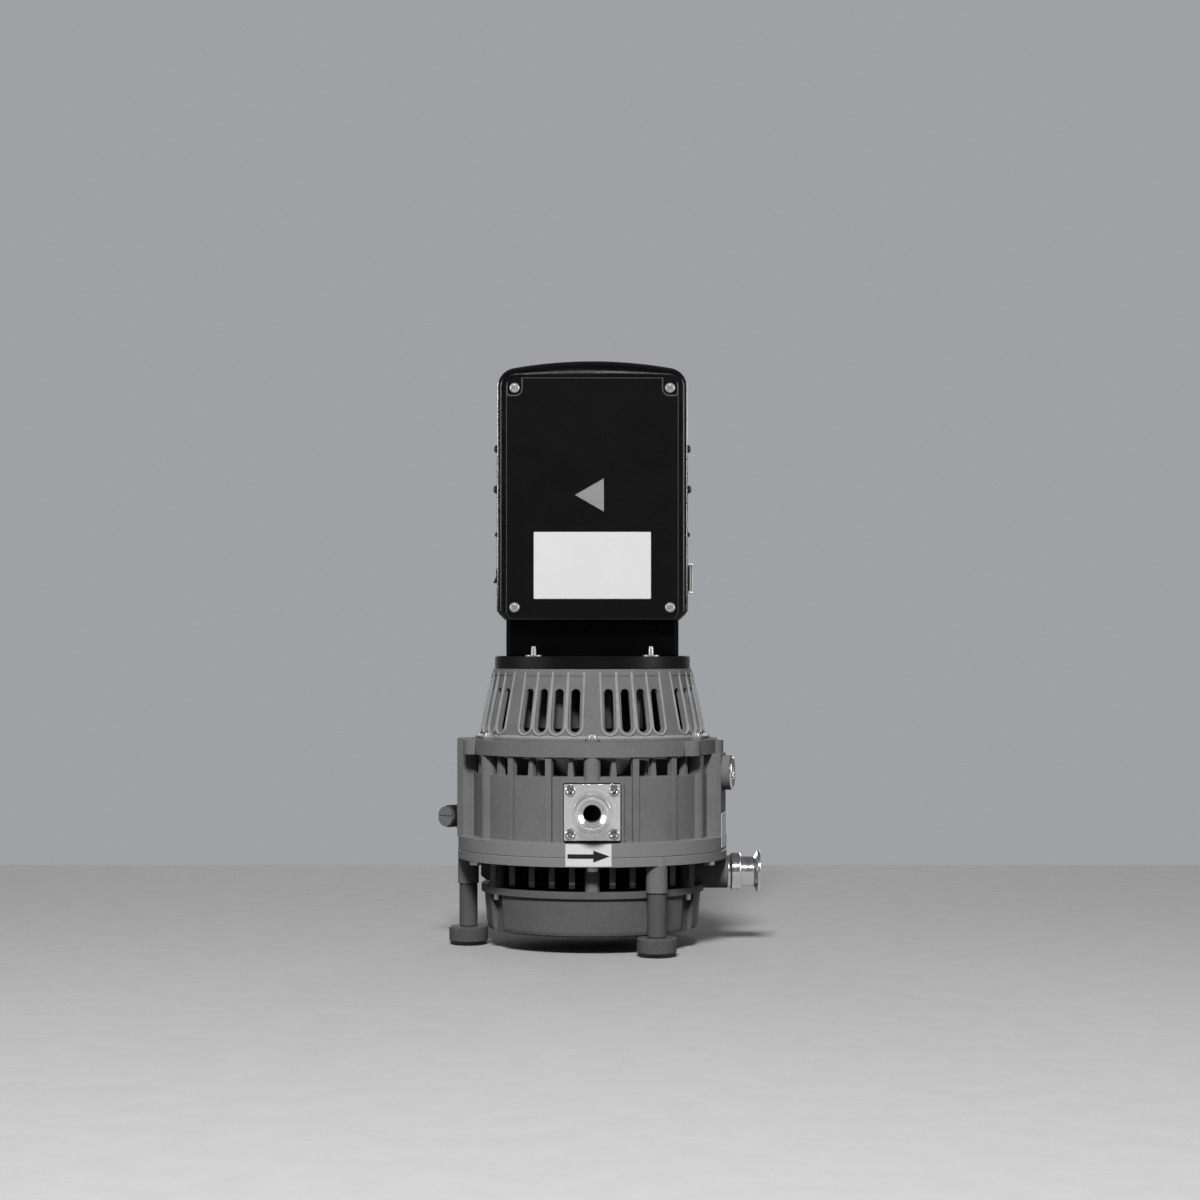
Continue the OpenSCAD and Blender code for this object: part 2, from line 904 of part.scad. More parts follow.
module housing_walls() {
    difference() {
        union() {
            rotate_extrude($fn = 96)
                polygon([
                    [0, joint_z], [ring_r - seam, joint_z], [ring_r, joint_z + seam],
                    [ring_r, wall_z], [wall_r, wall_z],
                    [wall_r, deck_z], [hub_r, deck_z], [hub_r, hub_top_z], [0, hub_top_z]
                ]);
            for (a = [20:20:340])
                at_az(a)
                    translate([-rib_w / 2, -rib_r, wall_z - over])
                        cube([rib_w, rib_r - boss_at, flange_z - wall_z + 2 * over]);
            for (a = [0:60:300])
                at_az(a)
                    translate([0, -boss_at, wall_z - over])
                        cylinder(r = boss_r, h = flange_z - wall_z + 2 * over, $fn = 32);
            for (a = [10:20:350])
                at_az(a)
                    facing(-boss_at + 4, 6, deck_z - over)
                        polygon([[-3, 0], [3, 0], [1.7, window_h - 0.3], [-1.7, window_h - 0.3]]);
            for (a = [10:20:350])
                at_az(a)
                    translate([-deck_rib_t / 2, -deck_rib_r, deck_z - over])
                        cube([deck_rib_t, deck_rib_r - hub_r + 2, window_h - 4 + over]);
            housing_pads();
            at_az(label_az)
                translate([0, -105, side_boss_z])
                    rotate([90, 0, 0])
                        cylinder(r = side_boss_r, h = side_boss_at - 105);
        }
        translate([0, 0, joint_z - over])
            cylinder(r = wall_in_r, h = under_deck_z - joint_z + over, $fn = 96);
        at_az(label_az)
            translate([-40, -ring_r - 10, joint_z - over])
                cube([80, ring_r + 10 - label_face, ring_upper_t + over + 0.4]);
    }
}

module housing_pads() {
    translate([-29, -exhaust_face, wall_z - over])
        cube([58, exhaust_face - boss_at + 1, exhaust_z + 29 - wall_z]);
    at_az(270)
        translate([0, 0, wall_z - over])
            linear_extrude(shroud_z - wall_z + over)
                polygon([
                    [-22, -boss_at], [-22, 6 - left_face], [-16, -left_face], [16, -left_face],
                    [22, 6 - left_face], [22, -boss_at]
                ]);
    at_az(label_az)
        translate([0, 0, joint_z + 0.5])
            linear_extrude(flange_z - joint_z)
                polygon([
                    [-20, -boss_at], [-20, 4.5 - label_face], [-17, -label_face], [17, -label_face],
                    [20, 4.5 - label_face], [20, -boss_at]
                ]);
}

module housing_flange() {
    difference() {
        union() {
            translate([0, 0, flange_z])
                cylinder(r = flange_r, h = flange_t, $fn = 96);
            for (a = [-72, 50.5])
                at_az(a)
                    translate([0, -118, flange_z])
                        cylinder(r = 10, h = flange_t);
            at_az(82)
                translate([0, -113, flange_z])
                    cylinder(r = 13, h = flange_t - 1.5);
        }
        translate([0, 0, flange_z - over])
            cylinder(r = 95, h = flange_t + 2 * over, $fn = 96);
    }
}

module main_housing() {
    color(cast_grey)
    difference() {
        union() {
            housing_walls();
            housing_flange();
            for (i = [0:2])
                translate(aux_at(i) + [0, 0, aux_seat_z])
                    cylinder(r = 16, h = under_deck_z - aux_seat_z + over);
        }
        for (i = [0:2])
            translate(aux_at(i) + [0, 0, aux_seat_z - over]) {
                cylinder(r = small_od / 2 + seat_gap, h = over + small_w + 1, $fn = 32);
                cylinder(r = 6, h = over + 15, $fn = 32);
            }
        translate([0, 0, under_deck_z - over])
            cylinder(r = shaft_seal_od / 2 + seat_gap, h = seal_seat_h + over);
        translate([0, 0, deck_z - over])
            cylinder(r = 16, h = 10);
        translate([0, 0, bearing_z])
            cylinder(r = main_od / 2 + seat_gap, h = 20);
        for (a = bolt_az)
            at_az(a)
                translate([0, -bolt_at, joint_z - over])
                    cylinder(r = bolt_r + screw_gap, h = 11, $fn = 24);
        for (a = [0:60:300])
            at_az(a)
                translate([0, -boss_at, shroud_z - 12])
                    cylinder(r = screw_r + screw_gap, h = 13, $fn = 24);
        for (p = port_screws())
            translate([p[0], -exhaust_face + 6, exhaust_z + p[1]])
                rotate([90, 0, 0])
                    cylinder(r = screw_r + screw_gap, h = 8, $fn = 24);
        translate([0, -wall_in_r + 6, exhaust_z])
            rotate([90, 0, 0])
                cylinder(r = exhaust_bore_r, h = 20, $fn = 32);
        at_az(label_az)
            translate([0, -boss_at, side_boss_z])
                rotate([90, 0, 0])
                    cylinder(r = 10 + seat_gap, h = 30, $fn = 32);
        translate([-left_face - over, 0, ballast_z])
            rotate([0, 90, 0])
                cylinder(r = 6 + seat_gap, h = 12, $fn = 32);
    }
}

module orbiting_scroll() {
    color(cast_grey)
    translate([orbit_r, 0, 0])
    difference() {
        union() {
            translate([0, 0, orbit_z])
                cylinder(r = orbit_plate_r, h = orbit_t, $fn = 96);
            translate([0, 0, floor_z + tip_gap])
                linear_extrude(wrap_h - tip_gap + over)
                    rotate(180)
                        polygon(wrap_outline());
            translate([0, 0, pin_z - over])
                cylinder(r = 26, h = crank_boss_h + over);
            for (i = [0:2])
                translate(aux_at(i) + [0, 0, pin_z - over])
                    cylinder(r = 15, h = aux_boss_h + over);
        }
        translate([0, 0, pin_z + 3])
            cylinder(r = 15, h = crank_boss_h);
        translate([0, 0, crank_seat_z])
            cylinder(r = pin_od / 2 + seat_gap, h = crank_boss_h);
        for (i = [0:2])
            translate(aux_at(i)) {
                translate([0, 0, pin_z + 1])
                    cylinder(r = 7, h = aux_boss_h, $fn = 32);
                translate([0, 0, pin_z + 2])
                    cylinder(r = small_od / 2 + seat_gap, h = aux_boss_h, $fn = 32);
            }
    }
}

module housing_seal() {
    color(black)
    rotate_extrude($fn = 96)
        translate([groove_r, joint_z - seal_r - seat_gap])
            circle(r = seal_r, $fn = 16);
}

module scroll_fins() {
    intersection() {
        union() {
            for (s = [-1, 1])
                for (i = [1:5])
                    translate([s * i * fin_pitch - fin_t / 2, -110, boss_z + 3.2])
                        cube([fin_t, 220, floor_z - floor_t - boss_z - 2.2]);
            translate([-110, -fin_t / 2, boss_z + 3.2])
                cube([220, fin_t, floor_z - floor_t - boss_z - 2.2]);
        }
        union() {
            translate([0, 0, boss_z + 2.5])
                cylinder(r1 = under_r - 6, r2 = under_r - 0.5, h = 5, $fn = 96);
            translate([0, 0, boss_z + 7.5])
                cylinder(r = under_r - 0.5, h = 30, $fn = 96);
        }
    }
}

module fixed_scroll() {
    z1 = floor_z - floor_t;
    color(cast_grey)
    difference() {
        union() {
            rotate_extrude($fn = 96)
                polygon([
                    [0, z1], [under_r, z1], [under_r, ring_z], [ring_r, ring_z],
                    [ring_r, joint_z - seam], [ring_r - seam, joint_z],
                    [wrap_wall_r, joint_z], [wrap_wall_r, orbit_z - tip_gap],
                    [wrap_wall_in_r, orbit_z - tip_gap], [wrap_wall_in_r, floor_z], [0, floor_z]
                ]);
            translate([0, 0, floor_z - over])
                linear_extrude(wrap_h - tip_gap + over)
                    polygon(wrap_outline());
            scroll_fins();
            for (a = concat([0, 180], cover_bolt_az()))
                at_az(a)
                    translate([0, -cover_bolt_at, cover_top_z()])
                        cylinder(r = 6.8, h = z1 - cover_top_z() + over, $fn = 32);
            for (a = leg_az)
                at_az(a)
                    translate([0, -leg_r, boss_z])
                        cylinder(r = leg_boss_d / 2, h = joint_z - boss_z);
            translate([92, 0, inlet_z])
                rotate([0, 90, 0])
                    cylinder(r = inlet_boss_r, h = inlet_face - 92);
            translate([0, 0, cover_top_z() + 4])
                cylinder(r = 14, h = z1 - cover_top_z() - 3);
        }
        translate([94, 0, inlet_z])
            rotate([0, 90, 0])
                cylinder(r = 10, h = 50, $fn = 32);
        translate([98.5, 0, inlet_z])
            cylinder(r = 3.5, h = floor_z - inlet_z + over, $fn = 24);
        translate([0, 0, cover_top_z() + 8])
            cylinder(r = 6, h = 40, $fn = 32);
        translate([0, 0, joint_z - 2 * seal_r - 2 * seat_gap])
            tube(groove_r + 1.7, groove_r - 1.7, 5);
        for (a = bolt_az)
            at_az(a)
                translate([0, -bolt_at, ring_z - over])
                    cylinder(r = bolt_r + screw_gap, h = ring_lower_t + 2 * over, $fn = 24);
        for (a = cover_bolt_az())
            at_az(a)
                translate([0, -cover_bolt_at, cover_top_z() - over])
                    cylinder(r = small_screw_r + screw_gap, h = 11, $fn = 24);
    }
}

module ring_bolts() {
    color(steel)
    for (a = bolt_az)
        at_az(a)
            translate([0, -bolt_at, ring_z]) {
                translate([0, 0, -4.5])
                    cylinder(r = 5.5, h = 4.5, $fn = 6);
                translate([0, 0, -0.5])
                    cylinder(r = bolt_r, h = ring_lower_t + 9, $fn = 24);
            }
}

function cover_bolt_az() = [63.5, 116.5, 243.5, 296.5];
function cover_pocket_az() = [61.5, 118.5, 241.5, 298.5];
function cover_top_z() = boss_z + 0.4;

module bottom_cover() {
    top = cover_top_z();
    color(dark_grey)
    difference() {
        union() {
            difference() {
                rotate_extrude($fn = 96)
                    polygon([
                        [0, top - cover_deep], [cover_r - cover_in - 4, top - cover_deep],
                        [cover_r - cover_in - 1, top - cover_deep + 1.4],
                        [cover_r - cover_in, top - cover_deep + 4.5], [cover_r - 3, top - cover_rim],
                        [cover_r, top - cover_rim], [cover_r, top], [0, top]
                    ]);
                translate([0, 0, top - cover_deep + cover_wall])
                    cylinder(
                        r1 = cover_r - cover_in - cover_wall, r2 = cover_r - cover_in - cover_wall + 2,
                        h = cover_deep, $fn = 96
                    );
            }
            intersection() {
                translate([0, 0, top - cover_deep + 3])
                    cylinder(r1 = cover_r - 7.5, r2 = cover_r - 4.5, h = cover_deep - 3.4, $fn = 96);
                for (a = cover_pocket_az())
                    at_az(a)
                        translate([-pocket_w / 2 - 3, -cover_r, top - cover_deep + 0.8])
                            cube([pocket_w + 6, 14, cover_deep - 0.8]);
            }
        }
        for (a = cover_pocket_az())
            at_az(a)
                translate([-pocket_w / 2, -cover_r - over, top - 50])
                    cube([pocket_w, 10.5 + over, 50 - cover_rim]);
        for (a = cover_bolt_az())
            at_az(a)
                translate([0, -cover_bolt_at, top - 20])
                    cylinder(r = small_screw_r + screw_gap, h = 30, $fn = 24);
        translate([90, 0, inlet_z])
            rotate([0, 90, 0])
                cylinder(r = inlet_boss_r + 0.5, h = 40);
    }
}

module cover_bolts() {
    color(steel)
    for (a = cover_bolt_az())
        at_az(a)
            translate([0, -cover_bolt_at, cover_top_z() - cover_rim]) {
                translate([0, 0, -6])
                    cylinder(r = 3.4, h = 6, $fn = 32);
                translate([0, 0, -0.5])
                    cylinder(r = small_screw_r, h = 15.5, $fn = 24);
            }
}

// Ports and fittings

function port_screws() = [
    [-port_screw_at, -port_screw_at], [port_screw_at, -port_screw_at],
    [-port_screw_at, port_screw_at], [port_screw_at, port_screw_at]
];

module exhaust_gasket() {
    color(black)
    difference() {
        facing(-exhaust_face, gasket_t, exhaust_z)
            polygon(round_rect(port_w + 2, port_w + 2, 2));
        facing(-exhaust_face + over, gasket_t + 2 * over, exhaust_z)
            circle(r = exhaust_bore_r + 1, $fn = 32);
        for (p = port_screws())
            facing(-exhaust_face + over, gasket_t + 2 * over, exhaust_z)
                translate(p)
                    circle(r = screw_r + screw_gap, $fn = 24);
    }
}

module exhaust_port() {
    face = -exhaust_face - gasket_t;
    color(steel)
    difference() {
        union() {
            facing(face, port_t, exhaust_z)
                polygon(round_rect(port_w, port_w, 1));
            translate([0, face - port_t + over, exhaust_z])
                rotate([90, 0, 0])
                    rotate_extrude()
                        polygon([
                            [0, 0], [16.8, 0], [16.8, 2], [10.5, 3.2], [10.5, 18.5],
                            [15, 22], [15, 25], [0, 25]
                        ]);
        }
        translate([0, face + over, exhaust_z])
            rotate([90, 0, 0]) {
                cylinder(r = exhaust_bore_r, h = 40);
                translate([0, 0, port_t + 20.2])
                    cylinder(r1 = exhaust_bore_r, r2 = 13.4, h = 5);
            }
        for (p = port_screws())
            facing(face + over, port_t + 2 * over, exhaust_z)
                translate(p)
                    circle(r = screw_r + screw_gap, $fn = 24);
    }
}

module exhaust_screws() {
    color(steel)
    for (p = port_screws())
        translate([p[0], -exhaust_face - gasket_t - port_t, exhaust_z + p[1]])
            rotate([90, 0, 0])
                pan_screw(4.8, 3.2, screw_r, 11);
}

module inlet_nozzle() {
    color(steel)
    translate([inlet_face, 0, inlet_z])
        rotate([0, 90, 0])
            difference() {
                rotate_extrude()
                    polygon([
                        [0, 0], [15.4, 0], [15.4, 3.2], [14, 3.2], [14, 25.5], [19.4, 28.5],
                        [20, 28.8], [20, 31.5], [0, 31.5]
                    ]);
                translate([0, 0, -over])
                    cylinder(r = inlet_bore_r, h = 40);
            }
}

module inlet_collar() {
    color(pale)
    translate([inlet_face + 3.2, 0, inlet_z])
        rotate([0, 90, 0])
            rotate_extrude()
                polygon([
                    [14 + seat_gap, 0], [16.4, 0], [17.6, 1.2], [17.6, 8.8],
                    [16.4, 10], [14 + seat_gap, 10]
                ]);
}

module ballast_body() {
    color(black)
    difference() {
        union() {
            translate([-left_face, 0, ballast_z])
                rotate([0, 90, 0])
                    cylinder(r = 6, h = 10, $fn = 32);
            translate([-left_face - 1.5, 0, ballast_z])
                rotate([0, 90, 0])
                    cylinder(r = 11, h = 1.5);
            difference() {
                translate([-ballast_at, 0, ballast_z])
                    rotate([90, 0, ballast_az])
                        translate([0, 0, -6])
                            cylinder(r = 10.6, h = 12);
                translate([-left_face, -30, ballast_z - 30])
                    cube(60);
            }
        }
        translate([-ballast_at, 0, ballast_z])
            rotate([90, 0, ballast_az])
                translate([0, 0, 1])
                    cylinder(r = 3 + seat_gap, h = 20, $fn = 24);
    }
}

module ballast_knob() {
    color(steel)
    translate([-ballast_at, 0, ballast_z])
        rotate([90, 0, ballast_az])
            difference() {
                union() {
                    translate([0, 0, 6.3])
                        cylinder(r = 9.6, h = 4.2);
                    translate([0, 0, 2])
                        cylinder(r = 3, h = 5, $fn = 24);
                }
                translate([-12, -0.9, 9.3])
                    cube([24, 1.8, 5]);
            }
}

module side_plug() {
    color(steel)
    at_az(label_az)
        translate([0, -side_boss_at, side_boss_z])
            rotate([90, 0, 0])
                difference() {
                    union() {
                        cylinder(r1 = 15.2, r2 = 14.2, h = 2.2);
                        translate([0, 0, -10])
                            cylinder(r = 10, h = 11, $fn = 32);
                    }
                    translate([0, 0, 0.8])
                        cylinder(r = 6, h = 5, $fn = 6);
                }
}

module arrow_label() {
    color(pale)
    intersection() {
        translate([0, 0, ring_z + 0.6])
            tube(ring_r + 0.4, ring_r, joint_z - ring_z + ring_upper_t - 1.2, $fn = 96);
        translate([-24.5, -ring_r - 5, ring_z])
            cube([42.4, 20, ring_lower_t + ring_upper_t]);
    }
}

module arrow_mark() {
    mid = ring_z + 10.2;
    color(black)
    intersection() {
        translate([0, 0, ring_z])
            tube(ring_r + 0.6, ring_r + 0.4, ring_lower_t + ring_upper_t, $fn = 96);
        facing(-ring_r + 10, 20, mid)
            polygon([[-22.5, -2], [1, -2], [1, -5.5], [16, 0], [1, 5.5], [1, 2], [-22.5, 2]]);
    }
}

module side_label() {
    color(pale)
    at_az(label_az)
        facing(-label_face, 0.4, joint_z + 18.6)
            polygon(round_rect(30, 33, 1));
}

// Legs

module leg_posts() {
    color(dark_grey)
    for (a = leg_az)
        at_az(a)
            translate([0, -leg_r, post_z]) {
                cylinder(r = post_d / 2 - 0.6, h = post_h);
                translate([0, 0, 0.8])
                    cylinder(r = post_d / 2, h = post_h - 1.6);
            }
}

module feet() {
    color(dark_grey)
    for (a = leg_az)
        at_az(a)
            translate([0, -leg_r, pad_h])
                difference() {
                    union() {
                        cylinder(r1 = foot_d / 2 - 1, r2 = foot_d / 2, h = 1.2);
                        translate([0, 0, 1.2])
                            cylinder(r = foot_d / 2, h = foot_h - pad_h - 2);
                        translate([0, 0, foot_h - pad_h - 0.8])
                            cylinder(r1 = foot_d / 2, r2 = foot_d / 2 - 0.8, h = 0.8);
                    }
                    translate([0, 0, -over])
                        cylinder(r = foot_hole_r, h = foot_hole_h - pad_h + over, $fn = 32);
                }
}

module foot_pads() {
    color(black)
    for (a = leg_az)
        at_az(a)
            translate([0, -leg_r, 0])
                difference() {
                    cylinder(r1 = foot_d / 2 - 2, r2 = foot_d / 2 - 1.2, h = pad_h);
                    translate([0, 0, -over])
                        cylinder(r = foot_hole_r, h = pad_h + 2 * over, $fn = 32);
                }
}

drive_box_housing();
drive_box_cover();
cover_screws();
rating_plate();
triangle_plate();
side_panels();
side_screws();
switch_frame();
switch_rocker();
power_inlet();
cord_retainer();
drive_board();
board_parts();
motor_neck();
flange_plate();
flange_screws();
motor_case();
motor_stator();
motor_windings();
motor_rotor();
neck_bearing();
end_bearing();
fan_shroud();
shroud_screws();
cooling_fan();
crankshaft();
counterweight();
main_bearing();
shaft_seal();
main_housing();
orbiting_scroll();
crank_bearing();
aux_crank_a();
aux_crank_b();
aux_crank_c();
aux_housing_bearings();
aux_pin_bearings();
housing_seal();
fixed_scroll();
ring_bolts();
bottom_cover();
cover_bolts();
exhaust_port();
exhaust_screws();
exhaust_gasket();
inlet_nozzle();
inlet_collar();
leg_posts();
feet();
foot_pads();
ballast_body();
ballast_knob();
side_plug();
arrow_label();
arrow_mark();
side_label();
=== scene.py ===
# %% [markdown]
# # Upright scroll vacuum pump
# The pump is a stack of round castings on three legs, with its motor inside and a tall black drive
# box on top. The CAD model gives every piece its size and place. This lesson adds what CAD leaves
# out: paint and metal, rounded sheet edges, real screw heads, and a studio to see them in.

import json
import math

import bmesh
import bpy
from mathutils import Matrix, Vector


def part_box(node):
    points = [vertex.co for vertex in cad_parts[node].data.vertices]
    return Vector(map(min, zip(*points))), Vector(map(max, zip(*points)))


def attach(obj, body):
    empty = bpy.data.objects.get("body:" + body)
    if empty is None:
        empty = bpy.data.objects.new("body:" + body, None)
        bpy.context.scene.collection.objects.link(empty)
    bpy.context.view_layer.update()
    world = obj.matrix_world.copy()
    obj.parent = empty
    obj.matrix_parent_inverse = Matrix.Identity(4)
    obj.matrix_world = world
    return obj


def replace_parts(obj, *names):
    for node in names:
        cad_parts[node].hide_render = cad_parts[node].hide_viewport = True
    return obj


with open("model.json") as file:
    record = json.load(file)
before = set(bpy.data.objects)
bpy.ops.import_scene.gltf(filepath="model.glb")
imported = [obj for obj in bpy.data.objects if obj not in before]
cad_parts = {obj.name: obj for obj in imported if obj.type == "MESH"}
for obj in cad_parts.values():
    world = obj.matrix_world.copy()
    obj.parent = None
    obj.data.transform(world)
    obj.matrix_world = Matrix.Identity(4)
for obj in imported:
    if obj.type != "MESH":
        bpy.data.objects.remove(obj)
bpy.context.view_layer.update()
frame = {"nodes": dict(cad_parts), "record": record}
nodes = frame["nodes"]
node_slot = {row["node"]: row["material_slot"] for row in frame["record"]["subparts"]}
node_body = {node: body for body, group in frame["record"]["behaviour"]["bodies"].items() for node in group}
print("CAD nodes:", len(nodes), "finishes:", len(set(node_slot.values())))

MM = 0.001


# %% [markdown]
# ## Camera
# A product photograph of this kind is taken from a few metres away with a longer lens, so that
# upright edges stay parallel. A level camera with a small upward shift does the same here.

# %% Place the camera
ASIDE, DISTANCE, EYE_HEIGHT = 0.0072, 2.573, 0.289

lens_data = bpy.data.cameras.new("camera")
lens_data.sensor_width = 36.0
lens_data.lens = 80.4
lens_data.shift_y = 0.0358
lens_data.clip_end = 50.0
camera = bpy.data.objects.new("camera", lens_data)
camera.location = (ASIDE, -DISTANCE, EYE_HEIGHT)
camera.rotation_euler = (math.radians(90), 0, 0)
bpy.context.scene.collection.objects.link(camera)
bpy.context.scene.camera = camera
bpy.context.scene.view_settings.view_transform = "Standard"


# %% [markdown]
# ## Helpers for node trees
# Materials and generated shapes are both trees of nodes. One short helper makes a node, sets what
# is fixed on it and links what comes from another node. An output that comes out of it as a Value
# can be added and multiplied like a number, so that each tree reads like a recipe.

# %% Node helpers
def linear(*levels):
    """A colour given as screen levels of 0 to 255, in the light values that shaders use."""
    shares = [level / 255 for level in levels]
    return tuple(s / 12.92 if s <= 0.04045 else ((s + 0.055) / 1.055) ** 2.4 for s in shares)


def grey(level, warm=0):
    """A grey of one screen level, a little warmer in the reds and cooler in the blues."""
    return linear(level + warm, level, level - warm)


class Value:
    """An output of a node. A sum with it makes a Math node and gives that node's output."""

    def __init__(self, socket):
        self.socket, self.tree = socket, socket.id_data

    def __add__(self, other):
        return maths("ADD", self, other)

    def __sub__(self, other):
        return maths("SUBTRACT", self, other)

    def __rsub__(self, other):
        return maths("SUBTRACT", other, self)

    def __mul__(self, other):
        return maths("MULTIPLY", self, other)

    def __truediv__(self, other):
        return maths("DIVIDE", self, other)

    def __rtruediv__(self, other):
        return maths("DIVIDE", other, self)


def add(tree, kind, inputs=None, **settings):
    """A new node with its settings. Its inputs are plain values, Values or lists of Values."""
    node = tree.nodes.new(kind)
    for name, value in settings.items():
        setattr(node, name, value)
    for key, value in (inputs or {}).items():
        for source in value if isinstance(value, list) else [value]:
            if isinstance(source, Value):
                tree.links.new(source.socket, node.inputs[key])
            else:
                node.inputs[key].default_value = source
    return node


def made(tree, kind, inputs=None, output=0, **settings):
    """One output of a new node, as a Value."""
    return Value(add(tree, kind, inputs, **settings).outputs[output])


def maths(operation, *values):
    """The result of one Math node."""
    tree = next(value.tree for value in values if isinstance(value, Value))
    return made(tree, "ShaderNodeMath", dict(enumerate(values)), operation=operation)


def spread(value, low, high):
    """value stretched so that low becomes 0 and high becomes 1, and cut off there."""
    return made(value.tree, "ShaderNodeMapRange", {"Value": value, "From Min": low, "From Max": high})


def noise(at, scale, detail, **more):
    """Cloudy values from 0 to 1 over the places at."""
    inputs = {"Vector": at, "Scale": scale, "Detail": detail, **more}
    return made(at.tree, "ShaderNodeTexNoise", inputs)


def xyz(tree, x=0.0, y=0.0, z=0.0):
    """A vector from three numbers."""
    return made(tree, "ShaderNodeCombineXYZ", {"X": x, "Y": y, "Z": z})


def parts(vector):
    """The three numbers of a vector."""
    return [Value(socket) for socket in add(vector.tree, "ShaderNodeSeparateXYZ", {0: vector}).outputs]


def from_axis(x, y):
    """How far x and y lie from the Z axis."""
    return maths("SQRT", x * x + y * y)


def new_group(name, inputs, outputs, kind="ShaderNodeTree"):
    """An empty node group and its inputs by name, each given as its kind or as its plain value."""
    group = bpy.data.node_groups.new(name, kind)
    for label, value in inputs.items():
        socket_kind = value if isinstance(value, str) else {float: "Float", int: "Int"}[type(value)]
        socket = group.interface.new_socket(label, in_out="INPUT", socket_type="NodeSocket" + socket_kind)
        if value != socket_kind:
            socket.default_value = value
    for label in outputs:
        socket_kind = {"Normal": "Vector", "Geometry": "Geometry"}.get(label, "Float")
        group.interface.new_socket(label, in_out="OUTPUT", socket_type="NodeSocket" + socket_kind)
    return group, {socket.name: Value(socket) for socket in add(group, "NodeGroupInput").outputs}


# %% [markdown]
# ## Effects that several finishes share
# Cast metal is grainy and cloudy, edges lose their paint first and are brightened further as a painted
# highlight, dust settles on what faces up, and turned metal keeps rings from the lathe. Each effect is
# one node group, built once and placed in each material with its own sizes. A group gives out only
# masks, heights and normals.

# %% Grain and clouds of a casting
def build_cast_grain():
    group, start = new_group("cast_grain", {"Vector": "Vector", "Grain": 0.001, "Clouds": 0.03},
                             ("Height", "Patches", "Speckle"))
    at, fine = start["Vector"], 1.0 / start["Grain"]
    pits = made(group, "ShaderNodeTexVoronoi", {"Vector": at, "Scale": fine * 0.7}, feature="SMOOTH_F1")
    add(group, "NodeGroupOutput", {
        "Height": noise(at, fine, 3.0) + pits * 0.6,
        "Patches": spread(noise(at, 1.0 / start["Clouds"], 4.0), 0.36, 0.64),
        "Speckle": spread(noise(at, fine * 0.55, 1.0), 0.6, 0.74)})
    return group


cast_grain = build_cast_grain()


# %% Rounded and rubbed edges, also brightened as a painted highlight
def build_wear_and_highlight_edges():
    group, start = new_group("wear_and_highlight_edges", {"Vector": "Vector", "Radius": 0.0008, "Breakup": 0.008},
                             ("Mask", "Normal"))
    soft = made(group, "ShaderNodeBevel", {"Radius": start["Radius"]}, samples=4)
    true = made(group, "ShaderNodeNewGeometry", output="Normal")
    match = made(group, "ShaderNodeVectorMath", {0: soft, 1: true}, "Value", operation="DOT_PRODUCT")
    inside = made(group, "ShaderNodeAmbientOcclusion", {"Distance": start["Radius"] * 2.5}, "AO",
                  samples=4, inside=True, only_local=True)
    patchiness = spread(noise(start["Vector"], 1.0 / start["Breakup"], 4.0), 0.42, 0.62)
    mask = spread(match, 0.995, 0.9) * spread(inside, 0.95, 0.6) * patchiness
    add(group, "NodeGroupOutput", {"Mask": mask, "Normal": soft})
    return group


wear_and_highlight_edges = build_wear_and_highlight_edges()


# %% Dust on faces that look up
def build_settled_dust():
    group, start = new_group("settled_dust", {"Vector": "Vector", "Spread": 0.02}, ("Mask",))
    upward = parts(made(group, "ShaderNodeNewGeometry", output="Normal"))[2]
    patches = noise(start["Vector"], 1.0 / start["Spread"], 5.0)
    add(group, "NodeGroupOutput", {"Mask": spread(upward, 0.55, 0.95) * spread(patches, 0.3, 0.7)})
    return group


settled_dust = build_settled_dust()


# %% Rings of a turned surface
def build_turned_rings():
    group, start = new_group("turned_rings", {"Vector": "Vector", "Pitch": 0.0004}, ("Height", "Tone"))
    x, y, z = parts(start["Vector"])
    step = (from_axis(x, y) + z) / start["Pitch"]
    rings, bands = [made(group, "ShaderNodeTexNoise", {"W": w, "Scale": 1.0, "Detail": 2.0},
                         noise_dimensions="1D") for w in (step, step * 0.12)]
    add(group, "NodeGroupOutput", {"Height": rings, "Tone": spread(bands, 0.35, 0.65)})
    return group


turned_rings = build_turned_rings()


# %% Moulded skin and handling marks
def build_moulded_skin():
    group, start = new_group("moulded_skin", {"Vector": "Vector", "Grain": 0.0008}, ("Height", "Marks"))
    at, fine = start["Vector"], 1.0 / start["Grain"]
    cells = made(group, "ShaderNodeTexVoronoi", {"Vector": at, "Scale": fine}, feature="SMOOTH_F1")
    add(group, "NodeGroupOutput", {
        "Height": cells * 0.5 + noise(at, fine * 0.25, 2.0),
        "Marks": spread(noise(at, 28.0, 5.0, Roughness=0.6), 0.38, 0.64)})
    return group


moulded_skin = build_moulded_skin()
print("effects:", ", ".join(group.name for group in bpy.data.node_groups))


# %% [markdown]
# ## Finishes
# A finish is one Principled shader with layers over its plain colour. The plain values sit on the
# shader itself. Each layer is a mask from an effect, which shifts the colour or the roughness. One
# height in metres becomes relief in a single Bump node.

